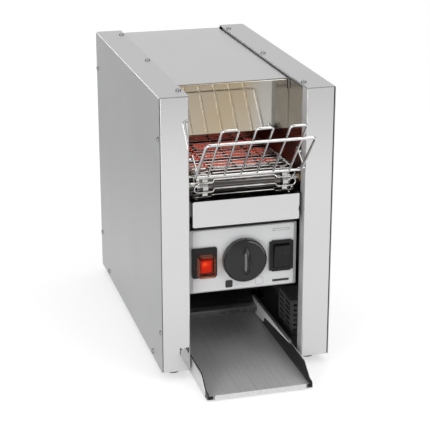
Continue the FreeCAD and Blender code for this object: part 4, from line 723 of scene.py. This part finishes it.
# %% Model one strand
PITCH = 12.7 * MM
TEETH = 8
RUN = 23
WIRE = 1.0 * MM
STEP = 42.5 * MM
HOOKS = 60 * MM
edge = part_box("conveyor_belt")[1].x - WIRE
# Each bend: its place across the belt, its share of a pitch along, its rise
bends = [(STEP, 0.35, 0.0), (STEP + 2.5 * MM, 0.0, 0.0), (edge - 3 * MM, 0.0, 0.0),
         (edge, 0.5, 0.3 * MM), (edge - 7 * MM, 1.08, 2.75 * MM)]
wire_line = [Vector((-x, share * PITCH, rise)) for x, share, rise in bends[::-1]]
wire_line += [Vector((x, share * PITCH, rise)) for x, share, rise in bends]


def draw_line(points):
    """A chain of points, drawn by extruding one point step by step."""
    bpy.ops.mesh.primitive_plane_add(size=MM, location=(0, 0, 0))
    line = bpy.context.object
    bpy.ops.object.mode_set(mode="EDIT")
    bpy.ops.mesh.merge(type="CENTER")
    bpy.ops.transform.translate(value=points[0])
    for before, after in zip(points, points[1:]):
        bpy.ops.mesh.extrude_vertices_move(TRANSFORM_OT_translate={"value": after - before})
    return line


def thick_wire(line, radius):
    """Turn a drawn line into round wire with closed ends."""
    finish_edit()
    alone(line)
    bpy.ops.object.convert(target="CURVE")
    line = bpy.context.object
    line.data.bevel_depth = radius
    line.data.bevel_resolution = 2
    line.data.use_fill_caps = True
    bpy.ops.object.convert(target="MESH")
    return bpy.context.object


strand = draw_line(wire_line)
choose(strand, "VERT", lambda v: abs(v.co.x) > HOOKS and len(v.link_edges) == 2)
bpy.ops.mesh.bevel(affect="VERTICES", offset=2.9 * MM, segments=4, profile=0.5)
choose(strand, "VERT", lambda v: abs(v.co.x) < HOOKS and len(v.link_edges) == 2)
bpy.ops.mesh.bevel(affect="VERTICES", offset=1.4 * MM, segments=3, profile=0.5)
strand = thick_wire(strand, WIRE)
print("one strand:", len(strand.data.polygons), "faces")

# %% [markdown]
# The loop is two straight runs and half a turn round each wheel. The pins of
# the pitch circle are one chord apart, which is why every strand fits.

# %% Lay the strands round the wheels
front_axis = sum(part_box("front_shaft"), Vector()) / 2
rear_axis = sum(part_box("rear_shaft"), Vector()) / 2
half_step = math.pi / TEETH
wheel = PITCH / (2 * math.sin(half_step))
loop = [(front_axis.y - wheel * math.sin(half_step) + i * PITCH,
         front_axis.z + wheel * math.cos(half_step)) for i in range(RUN + 1)]
for i in range(1, TEETH // 2):
    turn = math.pi / 2 - half_step * (2 * i - 1)
    loop.append((rear_axis.y + wheel * math.cos(turn), rear_axis.z + wheel * math.sin(turn)))
loop += [(front_axis.y + rear_axis.y - y, 2 * front_axis.z - z) for y, z in loop]

strands = []
for here, there in zip(loop, loop[1:] + loop[:1]):
    along = ((there[0] - here[0]) / PITCH, (there[1] - here[1]) / PITCH)
    lay = Matrix(((1, 0, 0, 0), (0, along[0], -along[1], here[0]),
                  (0, along[1], along[0], here[1]), (0, 0, 0, 1)))
    strands.append(another(strand, lay))
bpy.data.objects.remove(strand)
belt = settle(joined(strands), "belt_wires", 60)
belt.data.materials.append(belt_finish)
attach(belt, "case")
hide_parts("conveyor_belt")
print(len(loop), "strands,", len(belt.data.polygons), "faces")

# %% [markdown]
# ## Screw heads
#
# Pan-head screws hold the covers. A cylinder gets its crown from a few rings
# drawn in and up, its shank from the bottom face, and its cross from two
# tapered blades that are cut out of it, as the factory's punch does.

# %% Model one screw
HEAD = 4.0 * MM
SHANK = 4.0 * MM
BLADE = (4.2 * MM, 0.85 * MM, 2.6 * MM)


def cutter(turn):
    """One tapered blade of the cross."""
    bpy.ops.mesh.primitive_cube_add(size=1, location=(0, 0, 2.2 * MM), rotation=(0, 0, turn),
                                    scale=BLADE)
    blade = bpy.context.object
    bpy.ops.object.mode_set(mode="EDIT")
    choose(blade, "FACE", facing((0, 0, -1)))
    bpy.ops.transform.resize(value=(0.55, 0.8, 1))
    finish_edit()
    return blade


bpy.ops.mesh.primitive_cylinder_add(vertices=28, radius=HEAD, depth=0.9 * MM,
                                    location=(0, 0, 0.45 * MM))
screw = bpy.context.object
choose(screw, "FACE", facing((0, 0, 1)))
for rise, size in ((0.6, 0.9), (0.45, 0.8), (0.2, 0.65), (0.05, 0.3)):
    bpy.ops.mesh.extrude_region_move(TRANSFORM_OT_translate={"value": (0, 0, rise * MM)})
    bpy.ops.transform.resize(value=(size, size, 1))
choose(screw, "FACE", facing((0, 0, -1)))
bpy.ops.mesh.inset(thickness=2.1 * MM)
bpy.ops.mesh.extrude_region_move(TRANSFORM_OT_translate={"value": (0, 0, -SHANK)})
finish_edit()
blades = [cutter(turn) for turn in (0, math.pi / 2)]
for blade in blades:
    modify(screw, "BOOLEAN", object=blade, operation="DIFFERENCE")
    bpy.data.objects.remove(blade)
print("screw:", len(screw.data.polygons), "faces")

# %% [markdown]
# Each cover has six screws in its side, a little in from the edges, and three
# along its flange. They were driven by hand, so no two crosses point the same
# way: each copy is turned a little further than the one before.

# %% Put the screws on the covers
EDGE = 7.5 * MM
CORNER = 57 * MM
case_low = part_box("left_side_cover")[0]
case_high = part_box("right_side_cover")[1]
low_y, high_y, middle_y = case_low.y, case_high.y, (case_low.y + case_high.y) / 2
seats = []
for side in (-1, 1):
    out = Matrix.Rotation(side * math.pi / 2, 4, "Y")
    wall_x = side * case_high.x
    for y in (low_y + EDGE, high_y - EDGE):
        seats += [(out, (wall_x, y, z)) for z in (case_low.z + CORNER, case_high.z - CORNER)]
    seats += [(out, (wall_x, y, case_low.z + EDGE)) for y in (low_y + CORNER, high_y - CORNER)]
    seats += [(Matrix.Identity(4), (side * (half_passage + 6 * MM), y, case_high.z))
              for y in (low_y + 32 * MM, middle_y, high_y - 32 * MM)]
heads = []
for count, (turned, seat) in enumerate(seats):
    spin = Matrix.Rotation(0.7 * count, 4, "Z")
    heads.append(another(screw, Matrix.Translation(seat) @ turned @ spin))
bpy.data.objects.remove(screw)
screws = settle(joined(heads), "pan_head_screws")
screws.data.materials.append(screw_finish)
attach(screws, "case")
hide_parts("cover_screws")
print(len(seats), "screws")

# %% [markdown]
# ## Mouldings with rounded edges
#
# A moulded part never has a knife edge: the tool that shapes it leaves a small
# round, and that round is what catches the light. The CAD parts are sharp, so
# each moulding is copied, its loose triangles are welded and flattened into
# whole faces, and a bevel goes along every edge that turns more than a little.
# The tray's side guides are painted sheet, and get a rounded edge the same way.

# %% Round the edges of the mouldings
def rounded(node, name, width, body, finish):
    """A welded copy of a CAD part, with its sharp edges rounded."""
    copy = bpy.data.objects.new(name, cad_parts[node].data.copy())
    bpy.context.scene.collection.objects.link(copy)
    alone(copy)
    choose(copy, "VERT", lambda v: True)
    bpy.ops.mesh.remove_doubles(threshold=0.01 * MM)
    bpy.ops.mesh.dissolve_limited(angle_limit=math.radians(0.6))
    finish_edit()
    modify(copy, "BEVEL", width=width, segments=3, limit_method="ANGLE",
           angle_limit=math.radians(40), use_clamp_overlap=True)
    settle(copy, name, 40)
    copy.data.materials.clear()
    copy.data.materials.append(finish)
    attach(copy, body)
    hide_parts(node)
    print(name, len(copy.data.polygons), "faces")


rounded("speed_knob", "dial_knob", 0.6 * MM, "speed_dial", knob_finish)
rounded("power_switch_body", "power_bezel", 0.8 * MM, "case", switch_finish)
rounded("mode_switch_body", "mode_bezel", 0.8 * MM, "case", switch_finish)
rounded("mode_rocker", "mode_key", 1.1 * MM, "mode_button", switch_finish)
rounded("power_rocker", "power_key", 1.0 * MM, "power_button", lens_finish)
rounded("tray_side_guides", "tray_edge_guides", 0.55 * MM, "tray", guide_finish)

# %% [markdown]
# ## Marks on the panel
#
# The panel film carries a few plain printed marks: a bar over and a bar under
# the right-hand rocker, and two small squares under the dial. Ink has almost
# no thickness, but a mark that is a thin plate of its own keeps its edge sharp.
# Each is a flat face with its corners rounded in edit mode, made solid by a
# modifier.

# %% Print the marks
film_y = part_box("control_overlay")[0].y


def mark(place, size, corner, line=0.0):
    """One printed mark, filled, or an outline; all its sizes are in millimetres."""
    bpy.ops.mesh.primitive_plane_add(size=1, location=(place[0] * MM, film_y, place[1] * MM),
                                     rotation=(math.pi / 2, 0, 0))
    plate = bpy.context.object
    choose(plate, "VERT", lambda v: True)
    bpy.ops.transform.resize(value=(size[0] * MM, 1, size[1] * MM))
    bpy.ops.mesh.bevel(affect="VERTICES", offset=corner * MM, segments=4)
    if line:
        bpy.ops.mesh.select_mode(type="FACE")
        bpy.ops.mesh.select_all(action="SELECT")
        bpy.ops.mesh.inset(thickness=line * MM)
        bpy.ops.mesh.delete(type="FACE")
    finish_edit()
    modify(plate, "SOLIDIFY", thickness=0.12 * MM, offset=1.0)
    return plate


def print_marks(name, plates, finish):
    """Join plates into one printed piece on the panel."""
    printed = settle(joined(plates) if len(plates) > 1 else plates[0], name)
    printed.data.materials.append(finish)
    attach(printed, "case")
    print(name, [round(c, 4) for c in printed.dimensions])


print_marks("printed_marks", [mark((53.7, 124.2), (24.0, 3.4), 0.2),
                              mark((-20.5, 126.0), (10.4, 11.0), 2.2)], ink_finish)
print_marks("outlined_bar", [mark((53.4, 198.6), (24.0, 3.6), 0.2, 0.6)], grey_ink_finish)
print_marks("outlined_square", [mark((22.8, 126.2), (11.0, 11.2), 2.0, 0.45)], pale_ink_finish)

# %% [markdown]
# ## Floor, light and camera
#
# The toaster stands on a plain white floor. The floor is lit like any other
# surface and so keeps the toaster's shadow, and to rays that come straight
# from the camera, or from shiny steel, it also shows the white of the studio.
# In the steel that white fades with the distance from a pool of light in front
# of the toaster, as a paper floor does, so the sheet isn't evenly white.

# %% Floor
POOL = (0.1, -0.35, 0.0)


def ray_is(board, kind):
    """1 for one kind of ray, else 0."""
    return board.node("ShaderNodeLightPath", {}, {}, f"Is {kind} Ray")


def seen_directly(board):
    """1 for rays from the camera, from gloss and through glass, else 0."""
    rays = [ray_is(board, kind) for kind in ("Camera", "Glossy", "Transmission")]
    return board.math("MINIMUM", rays[0] + rays[1] + rays[2], 1.0)


bpy.ops.mesh.primitive_plane_add(size=14.0, location=(0, 0, -0.0004))
floor = bpy.context.object
floor.name = "floor"
floor_finish = Finish("studio floor", Roughness=1.0, Specular_IOR_Level=0.0)
paper = floor_finish.noise(6.0, detail=2.0)
shown = seen_directly(floor_finish)
distance = floor_finish.away_from(floor_finish.place(), POOL)
fade = ray_is(floor_finish, "Glossy") * floor_finish.span(distance, 0.6, 1.5, 0.0, 0.42)
shown = shown * (1 - fade)
far_off = floor_finish.span(distance, 1.2, 4.0)
white_paper = floor_finish.mix(far_off, (0.57, 0.57, 0.57), (0.74, 0.74, 0.74))
floor.data.materials.append(floor_finish.give(
    Base_Color=floor_finish.mix(paper, (0.54, 0.54, 0.54), (0.56, 0.56, 0.56)),
    Emission_Color=floor_finish.mix(shown, (0.0, 0.0, 0.0), white_paper),
    Emission_Strength=1.0))
print("floor", round(floor.dimensions.x, 1), "m wide")

# %% [markdown]
# Round the toaster is a white room. The camera sees it pure white. Shiny steel
# sees a white cloth behind the toaster and a greyer room elsewhere, and dull
# surfaces get an even light from all of it.

# %% Studio
AMBIENT = 0.42
studio = bpy.data.worlds.new("studio")
bpy.context.scene.world = studio
studio.use_nodes = True
air = Board(studio.node_tree)
cloth_way = Vector((0.2, 0.93, 0.3)).normalized()
direction = air.node("ShaderNodeTexCoord", {}, {}, "Generated")
towards = air.node("ShaderNodeVectorMath", {"operation": "DOT_PRODUCT"},
                   {0: direction, 1: cloth_way}, "Value")
cloth = air.span(towards, 0.70, 0.93, 0.5, 1.0)
seen = seen_directly(air)
white = seen - ray_is(air, "Glossy") * (1 - cloth)
backdrop = studio.node_tree.nodes["Background"]
air.fill(backdrop, {"Color": (1.0, 1.0, 1.0), "Strength": white + (1 - seen) * AMBIENT})
print("even light", AMBIENT)

# %% [markdown]
# Soft lamps do the rest: strong ones high in front on the right and overhead,
# weaker ones on the left and behind, and a small one low in front that reaches
# into the tray's opening. Big lamps near the object give the slow gradients
# that make sheet steel look like sheet steel.

# %% Lamps
def soft_lamp(name, place, size, power, target=(0, 0, 0.2)):
    """A square soft lamp that faces a target."""
    lamp = bpy.data.lights.new(name, "AREA")
    lamp.size = size
    lamp.energy = power
    holder = bpy.data.objects.new(name, lamp)
    bpy.context.scene.collection.objects.link(holder)
    holder.location = place
    aim = Vector(target) - Vector(place)
    holder.rotation_euler = aim.to_track_quat("-Z", "Y").to_euler()


soft_lamp("front_right_softbox", (1.3, -1.9, 1.7), 1.6, 22)
soft_lamp("left_softbox", (-2.2, -0.6, 1.5), 1.4, 8)
soft_lamp("low_front_softbox", (-1.15, -1.35, 0.42), 0.6, 11, (0.05, -0.12, 0.03))
soft_lamp("overhead_softbox", (0.2, 0.5, 2.6), 2.0, 22)
soft_lamp("edge_softbox", (-1.0, 2.4, 0.95), 0.7, 6)
print("five soft lamps")

# %% [markdown]
# The camera looks down nearly twenty degrees from the left of the front, two
# metres away, with a long lens so that upright lines stay nearly upright. Its
# focal length is given in pixels of a picture that is 430 pixels wide.

# %% Camera
SENSOR = 36.0
FOCAL_PIXELS = 1350.6
PICTURE_WIDTH = 430
camera_data = bpy.data.cameras.new("camera")
camera_data.sensor_width = SENSOR
camera_data.lens = SENSOR * FOCAL_PIXELS / PICTURE_WIDTH
camera = bpy.data.objects.new("camera", camera_data)
bpy.context.scene.collection.objects.link(camera)
camera.location = (-0.4959, -1.8110, 0.8308)
camera.rotation_euler = (math.radians(90 - 19.46), 0, math.radians(-15.48))
bpy.context.scene.camera = camera
bpy.context.scene.view_settings.view_transform = "Standard"
print("lens", round(camera_data.lens, 2))
